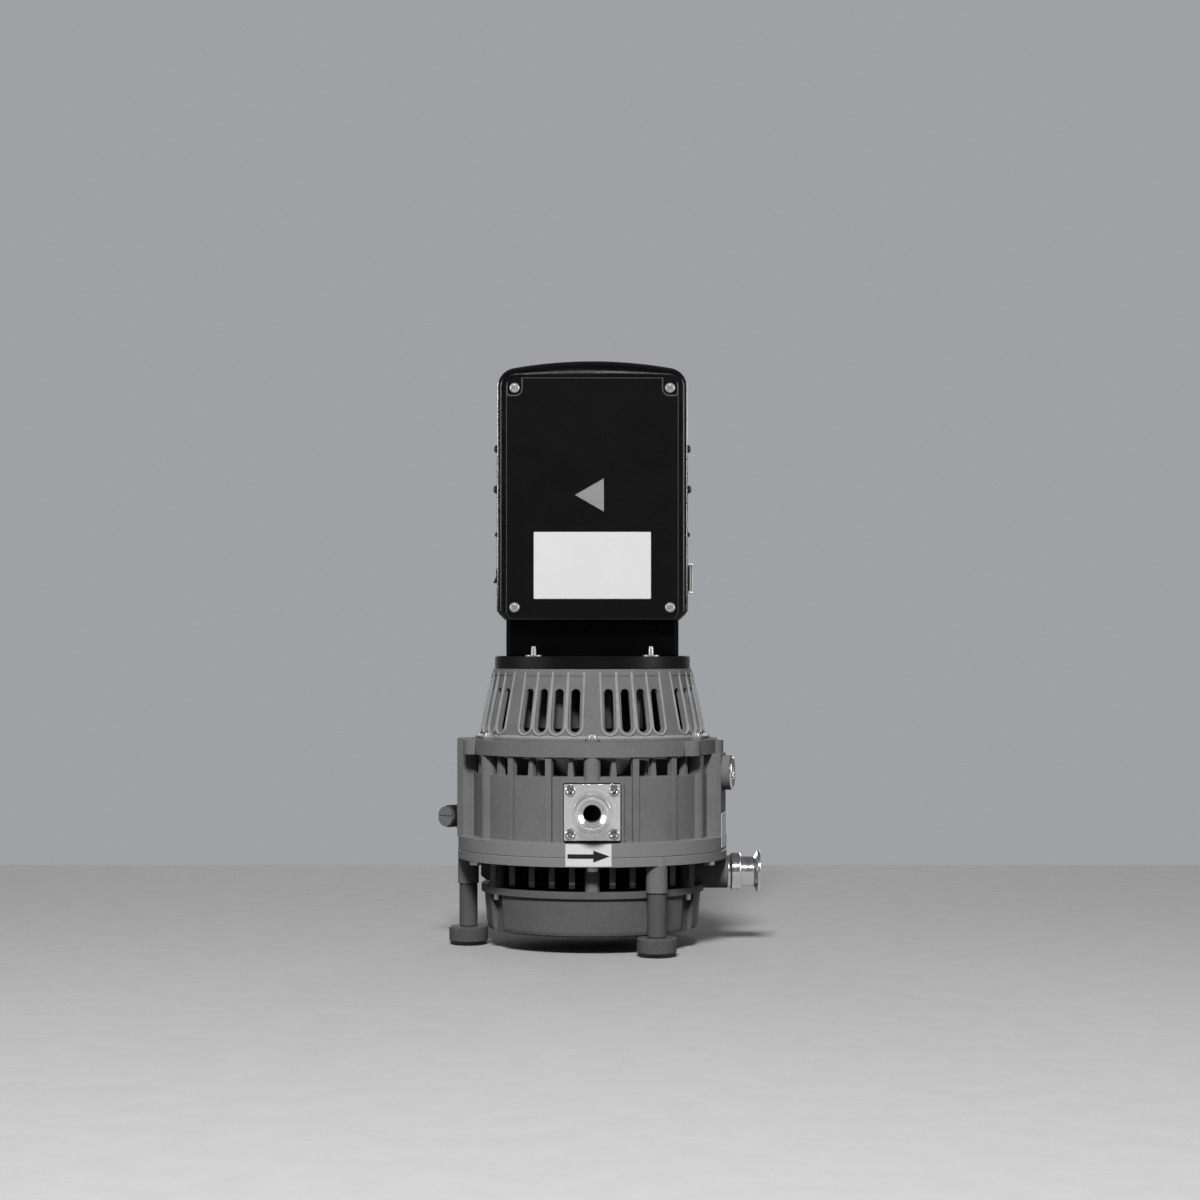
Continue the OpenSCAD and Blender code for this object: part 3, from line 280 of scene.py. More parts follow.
# %% The Finish class
class Finish:
    """A material made in layers, whose patterns can be centred and turned on one piece."""

    def __init__(self, name, colour, roughness, metallic=0.0, centre=(0, 0, 0), turn=(0, 0, 0), specular=0.5):
        self.material = bpy.data.materials.new(name)
        self.material.use_nodes = True
        self.tree = self.material.node_tree
        self.shader = self.tree.nodes["Principled BSDF"]
        self.colour, self.roughness, self.height, self.normal = (*colour, 1), roughness, None, None
        self.material.diffuse_color = self.colour
        for label, value in (("Base Color", self.colour), ("Roughness", roughness), ("Metallic", metallic),
                             ("Specular IOR Level", specular)):
            self.shader.inputs[label].default_value = value
        where = made(self.tree, "ShaderNodeTexCoord", output="Object")
        self.place = made(self.tree, "ShaderNodeMapping",
                          {"Vector": where, "Location": centre, "Rotation": turn}, vector_type="TEXTURE")

    def effect(self, group, **sizes):
        """The outputs of a shared effect placed in this material."""
        node = add(self.tree, "ShaderNodeGroup", {"Vector": self.place, **sizes}, node_tree=group)
        return {socket.name: Value(socket) for socket in node.outputs}

    def tint(self, mask, colour, amount=1.0):
        """Shifts the colour towards another where mask is high."""
        inputs = {0: mask * amount, 6: self.colour, 7: (*colour, 1)}
        self.colour = made(self.tree, "ShaderNodeMix", inputs, 2, data_type="RGBA")
        self.tree.links.new(self.colour.socket, self.shader.inputs["Base Color"])

    def gloss(self, mask, roughness, amount=1.0):
        """Shifts the roughness towards another where mask is high."""
        inputs = {0: mask * amount, 2: self.roughness, 3: roughness}
        self.roughness = made(self.tree, "ShaderNodeMix", inputs, data_type="FLOAT")
        self.tree.links.new(self.roughness.socket, self.shader.inputs["Roughness"])

    def relief(self, height, depth):
        """Sets a height that is depth metres from its low to its high places."""
        self.height = height * depth

    def edges(self, colour, amount, radius=0.8 * MM, breakup=8 * MM, roughness=None):
        """Rounds sharp edges, rubs the finish off them and brightens them: partly rubbed paint, partly a
        painted highlight.
        """
        worn_and_lit = self.effect(wear_and_highlight_edges, Radius=radius, Breakup=breakup)
        self.normal = worn_and_lit["Normal"]
        if roughness is not None:
            self.gloss(worn_and_lit["Mask"], roughness, amount)
        self.tint(worn_and_lit["Mask"], colour, amount)

    def rounding(self):
        """A mask that is 0 on faces square to the front and 1 on rounded edges and sides."""
        forward = parts(made(self.tree, "ShaderNodeNewGeometry", output="Normal"))[1]
        return spread(maths("ABSOLUTE", forward), 0.98, 0.8)

    def band(self, low, high, blur=0.3 * MM):
        """A mask that is 1 between two heights."""
        height = parts(self.place)[2]
        return spread(height, low - blur, low) * spread(height, high + blur, high)

    def dust(self, amount, spread_size=20 * MM):
        """Lays pale dust on what faces up."""
        self.tint(self.effect(settled_dust, Spread=spread_size)["Mask"], grey(150, 4), amount)

    def done(self):
        """Links the relief and the rounded edges to the shader, and gives the material."""
        if self.height is not None:
            inputs = {"Height": self.height, "Distance": 1.0, "Strength": 1.0}
            if self.normal is not None:
                inputs["Normal"] = self.normal
            self.normal = made(self.tree, "ShaderNodeBump", inputs)
        if self.normal is not None:
            self.tree.links.new(self.normal.socket, self.shader.inputs["Normal"])
        return self.material


# %% [markdown]
# ## Paint, castings and plastic
# The drive box is powder coated: satin black with a faint orange peel, and the rounded edges of its
# cover are painted brighter as a highlight. The castings are grey with a shot-blasted grain in paler
# and darker patches, and the band round the turned ring is painted paler as a sheen.

# %% Painted and cast finishes
joint_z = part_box("main_housing")[0].z
# The band round the turned ring is painted paler than the rest of the casting: a painted sheen.
SHEEN_BAND = (joint_z - 8.5 * MM, joint_z + 13.3 * MM)
print("the turned ring runs from", round(SHEEN_BAND[0] / MM, 1), "to", round(SHEEN_BAND[1] / MM, 1), "mm")


def painted(name, level, roughness, grain=1.3 * MM, depth=0.02 * MM, wear_and_highlight=0.25, edge_wear_and_highlight_level=None, dust=0.1,
            painted_edge_highlight=None, specular=0.5):
    finish = Finish(name, grey(level), roughness, specular=specular)
    skin = finish.effect(moulded_skin, Grain=grain)
    finish.relief(skin["Height"], depth)
    finish.gloss(skin["Marks"], min(1.0, roughness + 0.12), 0.8)
    finish.tint(skin["Marks"], grey(level + 6), 0.35)
    # Paler edges: partly rubbed paint, partly a painted highlight.
    finish.edges(grey(edge_wear_and_highlight_level or level + 45), wear_and_highlight, radius=1.0 * MM)
    # The rounded edges of the cover are painted brighter and glossier: a painted highlight.
    if painted_edge_highlight:
        edge = finish.rounding()
        finish.tint(edge, grey(painted_edge_highlight), 0.9)
        finish.gloss(edge, 0.25)
    finish.dust(dust)
    return finish.done()


def cast(name, level, roughness=0.55, depth=0.07 * MM, wear_and_highlight=0.45, dust=0.12, metallic=0.0, painted_sheen_level=None):
    finish = Finish(name, grey(level), roughness, metallic, specular=0.12)
    grit = finish.effect(cast_grain, Grain=1.0 * MM, Clouds=26 * MM)
    finish.tint(grit["Patches"], grey(level - 9), 0.55)
    finish.tint(grit["Speckle"], grey(level + 26), 0.45)
    finish.gloss(grit["Patches"], roughness + 0.12, 0.8)
    finish.relief(grit["Height"], depth)
    # Painted sheen: a paler band round the turned ring.
    if painted_sheen_level:
        finish.tint(finish.band(*SHEEN_BAND), grey(painted_sheen_level), 0.8)
    # Paler edges: partly rubbed paint, partly a painted highlight.
    finish.edges(grey(level + 45), wear_and_highlight, radius=0.9 * MM, roughness=0.35)
    finish.dust(dust, 30 * MM)
    return finish.done()


# %% [markdown]
# ## Bare metal
# Turned stainless pieces mirror the room in rings around their own axis, so each one has its own
# copy of the finish, centred and turned on its axis. Screws are plated and a little duller.

# %% Bare metal finishes
def turned(name, level, roughness, centre=(0, 0, 0), turn=(0, 0, 0), pitch=0.45 * MM, depth=0.006 * MM,
           warm=0, metallic=1.0):
    finish = Finish(name, grey(level, warm), roughness, metallic, centre, turn)
    rings = finish.effect(turned_rings, Pitch=pitch)
    skin = finish.effect(moulded_skin, Grain=1.5 * MM)
    finish.relief(rings["Height"], depth)
    finish.gloss(rings["Tone"], roughness + 0.12, 0.8)
    finish.tint(skin["Marks"], grey(level - 22, warm), 0.5)
    # Paler edges: partly rubbed paint, partly a painted highlight.
    finish.edges(grey(min(255, level + 25)), 0.6, radius=0.35 * MM, breakup=4 * MM)
    return finish.done()


def plated(name, level, roughness, metallic=1.0):
    finish = Finish(name, grey(level), roughness, metallic)
    skin = finish.effect(moulded_skin, Grain=0.5 * MM)
    finish.relief(skin["Height"], 0.006 * MM)
    finish.gloss(skin["Marks"], roughness + 0.15)
    finish.tint(skin["Marks"], grey(level - 25), 0.6)
    # Paler edges: partly rubbed paint, partly a painted highlight.
    finish.edges(grey(level + 30), 0.7, radius=0.25 * MM, breakup=2 * MM)
    return finish.done()


# %% [markdown]
# ## One finish for each slot
# The record names a slot for every piece, and this table says how each slot is finished. A node's
# own name goes before its slot, where one piece differs from the rest of its slot.

# %% Table of finishes
FINISHES = {
    "box_black": painted("box_black", 3, 0.24, wear_and_highlight=0.3, dust=0.01, specular=0.3),
    "flange_plate": painted("flange_black", 6, 0.42, wear_and_highlight=0.3, dust=0.02, specular=0.2),
    "cover_black": painted("cover_black", 8, 0.5, grain=0.9 * MM, depth=0.025 * MM, wear_and_highlight=0.3, painted_edge_highlight=88,
                           specular=0.15),
    # The neck is darker and duller than the box: painted shade for the shadow under the box.
    "neck_black": painted("neck_black", 2, 0.5, wear_and_highlight=0.2, dust=0.02, specular=0.06),
    "switch_black": painted("switch_black", 18, 0.32, grain=0.6 * MM, depth=0.008 * MM),
    "socket_black": painted("socket_black", 20, 0.42, grain=0.6 * MM, depth=0.01 * MM),
    "panel_black": painted("panel_black", 30, 0.36, grain=1.0 * MM, depth=0.01 * MM, wear_and_highlight=0.35),
    "cast_grey": cast("cast_grey", 117, painted_sheen_level=138),
    # Paler copies of the cast finish: on the slot rims partly rubbed paint and partly a painted highlight, on
    # the foot sweep a painted highlight.
    "slot_rims": cast("rim_cast_rubbed_and_highlight", 150, roughness=0.42, depth=0.03 * MM),
    "foot_sweep": cast("sweep_cast_painted_highlight", 150, roughness=0.4, depth=0.04 * MM),
    "cover_grey": cast("cover_grey", 102, roughness=0.42, depth=0.04 * MM, dust=0.0),
    "leg_grey": cast("leg_grey", 90, roughness=0.45, depth=0.05 * MM, wear_and_highlight=0.3),
    "stainless": turned("stainless", 215, 0.3),
    "screw_steel": plated("screw_steel", 200, 0.28, metallic=0.6),
    "exhaust_screws": plated("port_screw", 190, 0.2),
    "dark_screw": plated("dark_screw", 60, 0.38, metallic=0.7),
    "shaft_steel": turned("shaft_steel", 170, 0.25),
    "bearing_steel": turned("bearing_steel", 190, 0.2, pitch=0.3 * MM),
    "lamination": turned("lamination", 120, 0.45, pitch=0.5 * MM, depth=0.05 * MM),
    "winding_copper": turned("winding_copper", 150, 0.35, pitch=1.0 * MM, depth=0.2 * MM, warm=42),
    "motor_cast": cast("motor_cast", 140, metallic=0.6),
    "fan_grey": painted("fan_grey", 92, 0.5, depth=0.01 * MM),
    "scroll_metal": turned("scroll_metal", 150, 0.4, pitch=0.8 * MM),
    "rubber_black": painted("rubber_black", 22, 0.7, grain=0.7 * MM, wear_and_highlight=0.0, dust=0.2),
    "label_white": painted("label_white", 220, 0.42, grain=2 * MM, depth=0.002 * MM, edge_wear_and_highlight_level=235,
                           dust=0.05),
    # A brighter copy of the label white for the label at the side: painted light where the lamps leave it in
    # shade.
    "side_label": painted("side_label_white_painted_light", 250, 0.42, grain=2 * MM, depth=0.002 * MM, edge_wear_and_highlight_level=245,
                          dust=0.0),
    "plate_grey": plated("plate_grey", 148, 0.5, metallic=0.0),
    "ink_black": painted("ink_black", 24, 0.5, grain=1 * MM, depth=0.001 * MM, dust=0.0),
    "board_green": painted("board_green", 60, 0.4),
    "board_grey": painted("board_grey", 90, 0.5),
    "knob_grey": plated("knob_grey", 118, 0.5, metallic=0.5),
}

# Pieces whose turned rings have their own axis: its height, how it leans from upright, and metallic.
ACROSS, ALONG = (0, math.radians(90), 0), (math.radians(90), 0, 0)
RINGED = {
    "exhaust_port": (134.2 * MM, ALONG, 0.8),
    "inlet_nozzle": (70 * MM, ACROSS, 1.0),
    "inlet_collar": (70 * MM, ACROSS, 1.0),
    "side_plug": (165.8 * MM, (math.radians(90), 0, math.radians(80)), 1.0),
}
for node, (height, turn, metallic) in RINGED.items():
    FINISHES[node] = turned(f"stainless_{node}", 240, 0.2, (0, 0, height), turn, metallic=metallic)


def finish_of(node):
    return FINISHES.get(node) or FINISHES[node_slot[node]]


def dress(piece, finish):
    piece.data.materials.clear()
    piece.data.materials.append(finish)


for name, piece in nodes.items():
    dress(piece, finish_of(name))
print("finishes:", len(FINISHES))


# %% [markdown]
# ## Helpers for pieces
# A finished piece is a plain mesh whose object sits at the origin. It rides on the body of the CAD
# node that it stands for, takes that node's slot, and hides it. Corners over 35 degrees stay sharp
# in the shading and all others are smooth, which is how turned and folded sheet parts look. The
# normals lean towards the large faces, so that a flat face stays flat up to its rounded edge.

# %% Piece helpers
SHARP = math.radians(35)
PAST = 2 * MM  # how far a cutter reaches past what it cuts


def new_piece(name, shape):
    """An object named name from a bmesh, or from a mesh."""
    mesh = shape
    if isinstance(shape, bmesh.types.BMesh):
        mesh = bpy.data.meshes.new(name)
        shape.to_mesh(mesh)
        shape.free()
    piece = bpy.data.objects.new(name, mesh)
    bpy.context.scene.collection.objects.link(piece)
    return piece


def baked(piece):
    """The piece with its modifiers turned into a plain mesh."""
    mesh = bpy.data.meshes.new_from_object(piece.evaluated_get(bpy.context.evaluated_depsgraph_get()))
    piece.modifiers.clear()
    piece.data = mesh
    mesh.name = piece.name
    return piece


def added_to(piece, node, finish=None):
    """Shades, dresses and mounts a piece on the body of a CAD node."""
    piece.data.shade_smooth()
    piece.data.set_sharp_from_angle(angle=SHARP)
    even = piece.modifiers.new("even", "WEIGHTED_NORMAL")
    even.weight, even.keep_sharp = 90, True
    baked(piece)
    dress(piece, finish or finish_of(node))
    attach(piece, node_body[node])
    print(f"{piece.name}: {len(piece.data.polygons)} faces, on {node}")
    return piece


def stands_for(piece, node):
    """Mounts a piece that takes the place of a CAD node."""
    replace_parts(added_to(piece, node), node)


def welded(node):
    """A bmesh of a CAD node with its loose triangles joined."""
    shape = bmesh.new()
    shape.from_mesh(nodes[node].data)
    bmesh.ops.remove_doubles(shape, verts=shape.verts, dist=2e-6)
    return shape


def whole_faced(node):
    """A welded bmesh of a CAD node whose flat faces are made whole."""
    shape = welded(node)
    bmesh.ops.dissolve_limit(shape, angle_limit=math.radians(0.6), verts=shape.verts, edges=shape.edges)
    return shape


def islands(node):
    """The lowest and highest corner of each separate solid of a CAD node."""
    shape = welded(node)
    left, found = set(shape.verts), []
    while left:
        grow, seen = [left.pop()], []
        while grow:
            vert = grow.pop()
            seen.append(vert.co.copy())
            fresh = [v for v in (edge.other_vert(vert) for edge in vert.link_edges) if v in left]
            left.difference_update(fresh)
            grow += fresh
        found.append([Vector([pick(c[i] for c in seen) for i in range(3)]) for pick in (min, max)])
    shape.free()
    return sorted(found, key=lambda pair: tuple(round(v, 5) for v in pair[0]))


def skinned(rings, closed=False):
    """A bmesh that joins rings of points, with a cap at each end or the last ring joined to the first."""
    shape = bmesh.new()
    rings = [[shape.verts.new(point) for point in ring] for ring in rings]
    for near, far in zip(rings, rings[1:] + rings[:1] if closed else rings[1:]):
        for k in range(len(near)):
            shape.faces.new((near[k - 1], near[k], far[k], far[k - 1]))
    if not closed:
        shape.faces.new(rings[0])
        shape.faces.new(rings[-1][::-1])
    bmesh.ops.recalc_face_normals(shape, faces=shape.faces)
    return shape


# %% [markdown]
# ## Drive box housing
# The housing is pressed or moulded with generous rounding. From the flat front it rolls over to the
# sides in a tight curve, and over the crown in a longer one that starts on a straight line above
# the cover, which leaves the crescent that catches the light. A loft of one outline through several
# depths gives both curves at once. CAD has a plain chamfer here.

# %% Outline of the box at one depth
box_low, box_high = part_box("drive_box_housing")
HALF_W = box_high.x
FRONT, BACK = box_low.y, box_high.y
CORNER_R, CORNER_STEPS, CROWN_STEPS = 19 * MM, 12, 28
SLOPE = math.radians(10)
FOOT_CUT = 7 * MM
CROWN_HALF = HALF_W - CORNER_R + CORNER_R * math.sin(SLOPE)
CROWN_RISE = CROWN_HALF * math.tan(SLOPE / 2)
CROWN_R = CROWN_HALF / math.sin(SLOPE)
CORNER_Z = box_high.z - CROWN_RISE - CORNER_R * math.cos(SLOPE)
FRONT_LINE = box_high.z - 14.6 * MM
SIDE_IN, SIDE_DEEP, CROWN_DEEP = 6.5 * MM, 8 * MM, 15 * MM
ROLL = [math.radians(a) for a in (0, 12, 25, 38, 52, 66, 78, 90)]


def box_outline(turned, front):
    """Points (x, y, z) of the outline where the edge curve has turned by an angle from flat."""
    drawn = 1 - math.sin(turned)
    run = 1 - math.cos(turned)

    def point(x, z, depth):
        return Vector((x, FRONT + depth * run if front else BACK - SIDE_DEEP * run, z))

    points = [point(HALF_W - FOOT_CUT - SIDE_IN * drawn, box_low.z, SIDE_DEEP),
              point(HALF_W - SIDE_IN * drawn - 1.2 * MM, box_low.z + FOOT_CUT - 1.2 * MM, SIDE_DEEP),
              point(HALF_W - SIDE_IN * drawn, box_low.z + FOOT_CUT + 1.6 * MM, SIDE_DEEP)]
    end_in = CORNER_R - (FRONT_LINE - CORNER_Z) / math.cos(SLOPE) if front else SIDE_IN
    for k in range(CORNER_STEPS + 1):
        share = k / CORNER_STEPS
        a = share * (math.pi / 2 - SLOPE)
        radius = CORNER_R - (SIDE_IN + (end_in - SIDE_IN) * share) * drawn
        depth = SIDE_DEEP + (CROWN_DEEP - SIDE_DEEP) * share ** 2
        points.append(point(HALF_W - CORNER_R + radius * math.cos(a), CORNER_Z + radius * math.sin(a), depth))
    right = list(points)
    for k in range(1, CROWN_STEPS):
        x = CROWN_HALF * (1 - 2 * k / CROWN_STEPS)
        crown = box_high.z - CROWN_R + math.sqrt(CROWN_R ** 2 - x ** 2)
        level = crown - (crown - FRONT_LINE) * drawn if front else crown - SIDE_IN * drawn
        points.append(point(x * right[-1].x / CROWN_HALF, level, CROWN_DEEP))
    return points + [Vector((-p.x, p.y, p.z)) for p in reversed(right)]


outlines = [box_outline(a, True) for a in ROLL] + [box_outline(a, False) for a in reversed(ROLL)]
housing = new_piece("housing_shell", skinned(outlines))
print("the crown rises", round(CROWN_RISE / MM, 1), "mm over the corners of the box")


# %% [markdown]
# The box is hollow, open behind the cover, and has holes for the switch, the power inlet and the
# motor. Boolean modifiers cut these with plain cutters, as a mill would.

# %% Hollow the housing
def block(shape, low, high):
    for vert in bmesh.ops.create_cube(shape, size=1.0)["verts"]:
        vert.co = Vector([low[i] if vert.co[i] < 0 else high[i] for i in range(3)])


def rod(shape, start, end, radius, sides=32):
    start, end = Vector(start), Vector(end)
    lean = (end - start).to_track_quat("Z", "Y").to_matrix().to_4x4()
    bmesh.ops.create_cone(shape, cap_ends=True, segments=sides, radius1=radius, radius2=radius,
                          depth=(end - start).length, matrix=Matrix.Translation((start + end) / 2) @ lean)


def cutter(make, *values):
    shape = bmesh.new()
    make(shape, *values)
    return shape


def cut(piece, cutters):
    """Cuts closed shapes out of a piece, one after another."""
    tools = [new_piece(f"{piece.name}_cutter_{number}", shape) for number, shape in enumerate(cutters)]
    for tool in tools:
        boolean = piece.modifiers.new("cut", "BOOLEAN")
        boolean.operation, boolean.object, boolean.solver = "DIFFERENCE", tool, "EXACT"
    baked(piece)
    for tool in tools:
        bpy.data.objects.remove(tool)
    return piece


cover_low, cover_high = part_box("drive_box_cover")
socket_low, socket_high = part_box("power_inlet")
switch_low, switch_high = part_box("switch_frame")
WALL, OPEN_IN, OPEN_LOW, OPEN_TOP = 4 * MM, 14.8 * MM, 20 * MM, 18.5 * MM
SOCKET_LIP, SWITCH_LIP, SWITCH_HALF, MOTOR_R = 2 * MM, 3 * MM, 11 * MM, 50 * MM
cut(housing, [
    cutter(block, (-HALF_W + WALL, FRONT + WALL, box_low.z + WALL),
           (HALF_W - WALL, BACK - WALL, CORNER_Z - WALL)),
    cutter(block, (cover_low.x + OPEN_IN, FRONT - PAST, box_low.z + OPEN_LOW),
           (cover_high.x - OPEN_IN, FRONT + WALL + PAST, cover_high.z - OPEN_TOP)),
    cutter(block, (HALF_W - WALL - PAST, socket_low.y + SOCKET_LIP, socket_low.z + SOCKET_LIP),
           (HALF_W + PAST, socket_high.y - SOCKET_LIP, socket_high.z - SOCKET_LIP)),
    cutter(block, (-HALF_W - PAST, -SWITCH_HALF, switch_low.z + SWITCH_LIP),
           (WALL + PAST - HALF_W, SWITCH_HALF, switch_high.z - SWITCH_LIP)),
    cutter(rod, (0, 0, box_low.z - PAST), (0, 0, box_low.z + WALL + PAST), MOTOR_R, 96),
])
stands_for(housing, "drive_box_housing")


# %% [markdown]
# ## Rounded copies of plain parts
# Sheet covers and castings never have knife edges: a small radius runs along each and draws a thin
# light line in the photograph. These parts already have the right shape in CAD, so each is a copy
# of its node with a Bevel modifier over the sharp edges.

# %% Round the edges of simple parts
ROUNDED = {  # node: name of the copy, width of its edges in mm, steps across an edge
    "rating_plate": ("label_plate", 0.15, 1),
    "motor_neck": ("neck_casting", 1.6, 3),
    "flange_plate": ("flange_disc", 0.9, 3),
    "switch_frame": ("switch_bezel", 0.5, 2),
    "switch_rocker": ("rocker_cap", 0.6, 3),
    "power_inlet": ("inlet_socket", 0.6, 2),
    "feet": ("foot_blocks", 0.8, 2),
    "foot_pads": ("foot_rubbers", 0.5, 2),
    "leg_posts": ("post_rods", 0.5, 2),
    "exhaust_port": ("port_fitting", 0.5, 2),
    "inlet_nozzle": ("inlet_fitting", 0.6, 2),
    "inlet_collar": ("collar_ring", 0.4, 2),
    "ballast_body": ("ballast_stem", 0.5, 2),
    "ballast_knob": ("ballast_cap", 0.8, 3),
    "side_plug": ("plug_cap", 0.6, 2),
    "side_panels": ("side_plates", 0.3, 2),
}
for node, (name, width, segments) in ROUNDED.items():
    copy = new_piece(name, whole_faced(node))
    bevel = copy.modifiers.new("round", "BEVEL")
    bevel.width, bevel.segments = width * MM, segments
    bevel.limit_method, bevel.angle_limit = "ANGLE", SHARP
    bevel.miter_outer = "MITER_ARC"
    stands_for(baked(copy), node)


# %% Triangle plate with a groove along its border
BORDER, GROOVE, GROOVE_DEEP, GROOVE_SIDE = 1.3 * MM, 0.5 * MM, 0.3 * MM, 0.1 * MM
plate = whole_faced("triangle_plate")
front = [max((f for f in plate.faces if f.normal.y < -0.9), key=lambda f: f.calc_area())]
for thickness, depth in ((BORDER, 0), (GROOVE_SIDE, -GROOVE_DEEP), (GROOVE, 0), (GROOVE_SIDE, GROOVE_DEEP)):
    bmesh.ops.inset_individual(plate, faces=front, thickness=thickness, depth=depth)
stands_for(new_piece("small_plate", plate), "triangle_plate")


# %% [markdown]
# ## Front cover
# The cover is a flat plate with round corners, and its front edge is rounded all the way along. A
# recess at each top corner lets the screw head lie lower. A light line runs round its rim, where the
# rounded edge is painted brighter as a highlight.

# %% Build the cover and sink its recesses
def plate_with_round_front(low, high, corner, edge, steps=4, corner_steps=6):
    turns = [k / steps * math.pi / 2 for k in range(steps + 1)]
    levels = [(0.0, high.y)] + [(edge * (1 - math.cos(t)), low.y + edge * (1 - math.sin(t))) for t in turns]
    middles = ((high.x - corner, high.z - corner), (low.x + corner, high.z - corner),
               (low.x + corner, low.z + corner), (high.x - corner, low.z + corner))
    angles = [(middles[quarter], (quarter + k / corner_steps) * math.pi / 2)
              for quarter in range(4) for k in range(corner_steps + 1)]
    return skinned([[(x + (corner - inset) * math.cos(a), y, z + (corner - inset) * math.sin(a))
                     for (x, z), a in angles] for inset, y in levels])


def recess(side, screw_x, screw_z, half, deep, lip):
    """A recess round a corner screw, open at the top, with a slanted lip and two round lower corners."""
    rings = []
    for y, grow in ((cover_low.y - lip, 2 * lip), (cover_low.y + lip, 0.0), (cover_low.y + deep, 0.0)):
        outline = [(half + grow, cover_high.z + PAST), (-half - grow, cover_high.z + PAST)]
        for x, radius, start in ((-half, 6 * MM, 180), (half, 2 * MM, 270)):
            angles = [math.radians(start + 15 * k) for k in range(7)]
            outline += [(x + math.copysign(radius, -x) + (radius + grow) * math.cos(a),
                         screw_z - half + radius + (radius + grow) * math.sin(a)) for a in angles]
        rings.append([(side * (screw_x + x), y, z) for x, z in outline])
    return skinned(rings)


screw_at = (cover_high.x - 8 * MM, cover_high.z - 9.8 * MM)
cover = new_piece("front_cover", plate_with_round_front(cover_low, cover_high, 8 * MM, 1.0 * MM))
cut(cover, [recess(side, *screw_at, half=6.4 * MM, deep=1.8 * MM, lip=1.2 * MM) for side in (-1, 1)])
stands_for(cover, "drive_box_cover")


# %% [markdown]
# ## Screws and studs
# Screws repeat all over the pump, so one Geometry Nodes tree makes a whole set of them. It bends a
# sphere into a domed head with a flat seat, cuts a cross recess with two bars, adds a washer and a
# shank, and puts a copy at each point of a small helper mesh, each turned by a seeded random angle.

# %% Helpers that several trees share
def lifted(shape, z):
    move = {"Geometry": shape, "Translation": xyz(shape.tree, z=z)}
    return made(shape.tree, "GeometryNodeTransform", move)


def drum(tree, radius, deep, middle, sides):
    """A closed upright cylinder whose middle is at one height."""
    inputs = {"Vertices": sides, "Radius": radius, "Depth": deep}
    return lifted(made(tree, "GeometryNodeMeshCylinder", inputs, "Mesh"), middle)


def joined(tree, *shapes):
    return made(tree, "GeometryNodeJoinGeometry", {0: list(shapes)})


def copied(points, shape, rotation):
    inputs = {"Points": points, "Instance": shape, "Rotation": rotation}
    return made(shape.tree, "GeometryNodeInstanceOnPoints", inputs)


def copied_round(shape, count, angle_of):
    """Copies of a shape, each turned round Z by an angle that comes from its number."""
    points = made(shape.tree, "GeometryNodeMeshLine", {"Count": count, "Offset": (0, 0, 0)})
    number = made(shape.tree, "GeometryNodeInputIndex")
    return copied(points, shape, xyz(shape.tree, z=angle_of(number)))


def end_tree(tree, start, shape):
    real = made(tree, "GeometryNodeRealizeInstances", {0: shape})
    shown = made(tree, "GeometryNodeSetMaterial", {"Geometry": real, "Material": start["Finish"]})
    add(tree, "NodeGroupOutput", {0: shown})


def set_out(tree, start, screw):
    """Puts the screw at every place, along the axis stored there, and ends the tree."""
    spin = made(tree, "FunctionNodeRandomValue", {"Min": 0.0, "Max": math.tau, "Seed": start["Seed"]}, 1,
                data_type="FLOAT")
    first = made(tree, "FunctionNodeEulerToRotation", {0: xyz(tree, z=spin)})
    axis = made(tree, "GeometryNodeInputNamedAttribute", {"Name": "axis"}, data_type="FLOAT_VECTOR")
    lean = made(tree, "FunctionNodeAlignRotationToVector", {"Rotation": first, "Vector": axis}, axis="Z")
    end_tree(tree, start, copied(start["Places"], screw, lean))


# %% Tree for domed screws
def build_screw_tree():
    tree, start = new_group("screw_set", {
        "Places": "Geometry", "Head Radius": 0.0045, "Head Height": 0.0026, "Fullness": 0.45, "Recess": 0.6,
        "Washer Radius": 0.001, "Washer Thickness": 0.0, "Shank Radius": 0.002, "Shank Length": 0.005,
        "Seed": 3, "Finish": "Material"}, ("Geometry",), "GeometryNodeTree")
    radius, height, washer = start["Head Radius"], start["Head Height"], start["Washer Thickness"]
    ball = made(tree, "GeometryNodeMeshUVSphere", {"Segments": 32, "Rings": 14, "Radius": 1.0})
    x, y, z = parts(made(tree, "GeometryNodeInputPosition"))
    wide = maths("POWER", maths("MAXIMUM", from_axis(x, y), 0.001), start["Fullness"] - 1.0) * radius
    place = xyz(tree, x * wide, y * wide, maths("MAXIMUM", z, 0.0) * height + washer)
    dome = made(tree, "GeometryNodeSetPosition", {"Geometry": ball, "Position": place})
    dome = made(tree, "GeometryNodeMergeByDistance", {"Geometry": dome, "Distance": 1e-6})
    long = radius * 2.0 * start["Recess"]
    slim = long * 0.2
    bars = [made(tree, "GeometryNodeMeshCube", {"Size": xyz(tree, *size, height * 1.1)})
            for size in ((long, slim), (slim, long))]
    head = made(tree, "GeometryNodeMeshBoolean",
                {"Mesh 1": dome, "Mesh 2": [lifted(bar, height * 1.05 + washer) for bar in bars]},
                operation="DIFFERENCE", solver="EXACT")
    ring = drum(tree, start["Washer Radius"], washer, washer * 0.5, 36)
    shank = drum(tree, start["Shank Radius"], start["Shank Length"], start["Shank Length"] * -0.49, 20)
    set_out(tree, start, joined(tree, head, ring, shank))
    return tree


screw_tree = build_screw_tree()


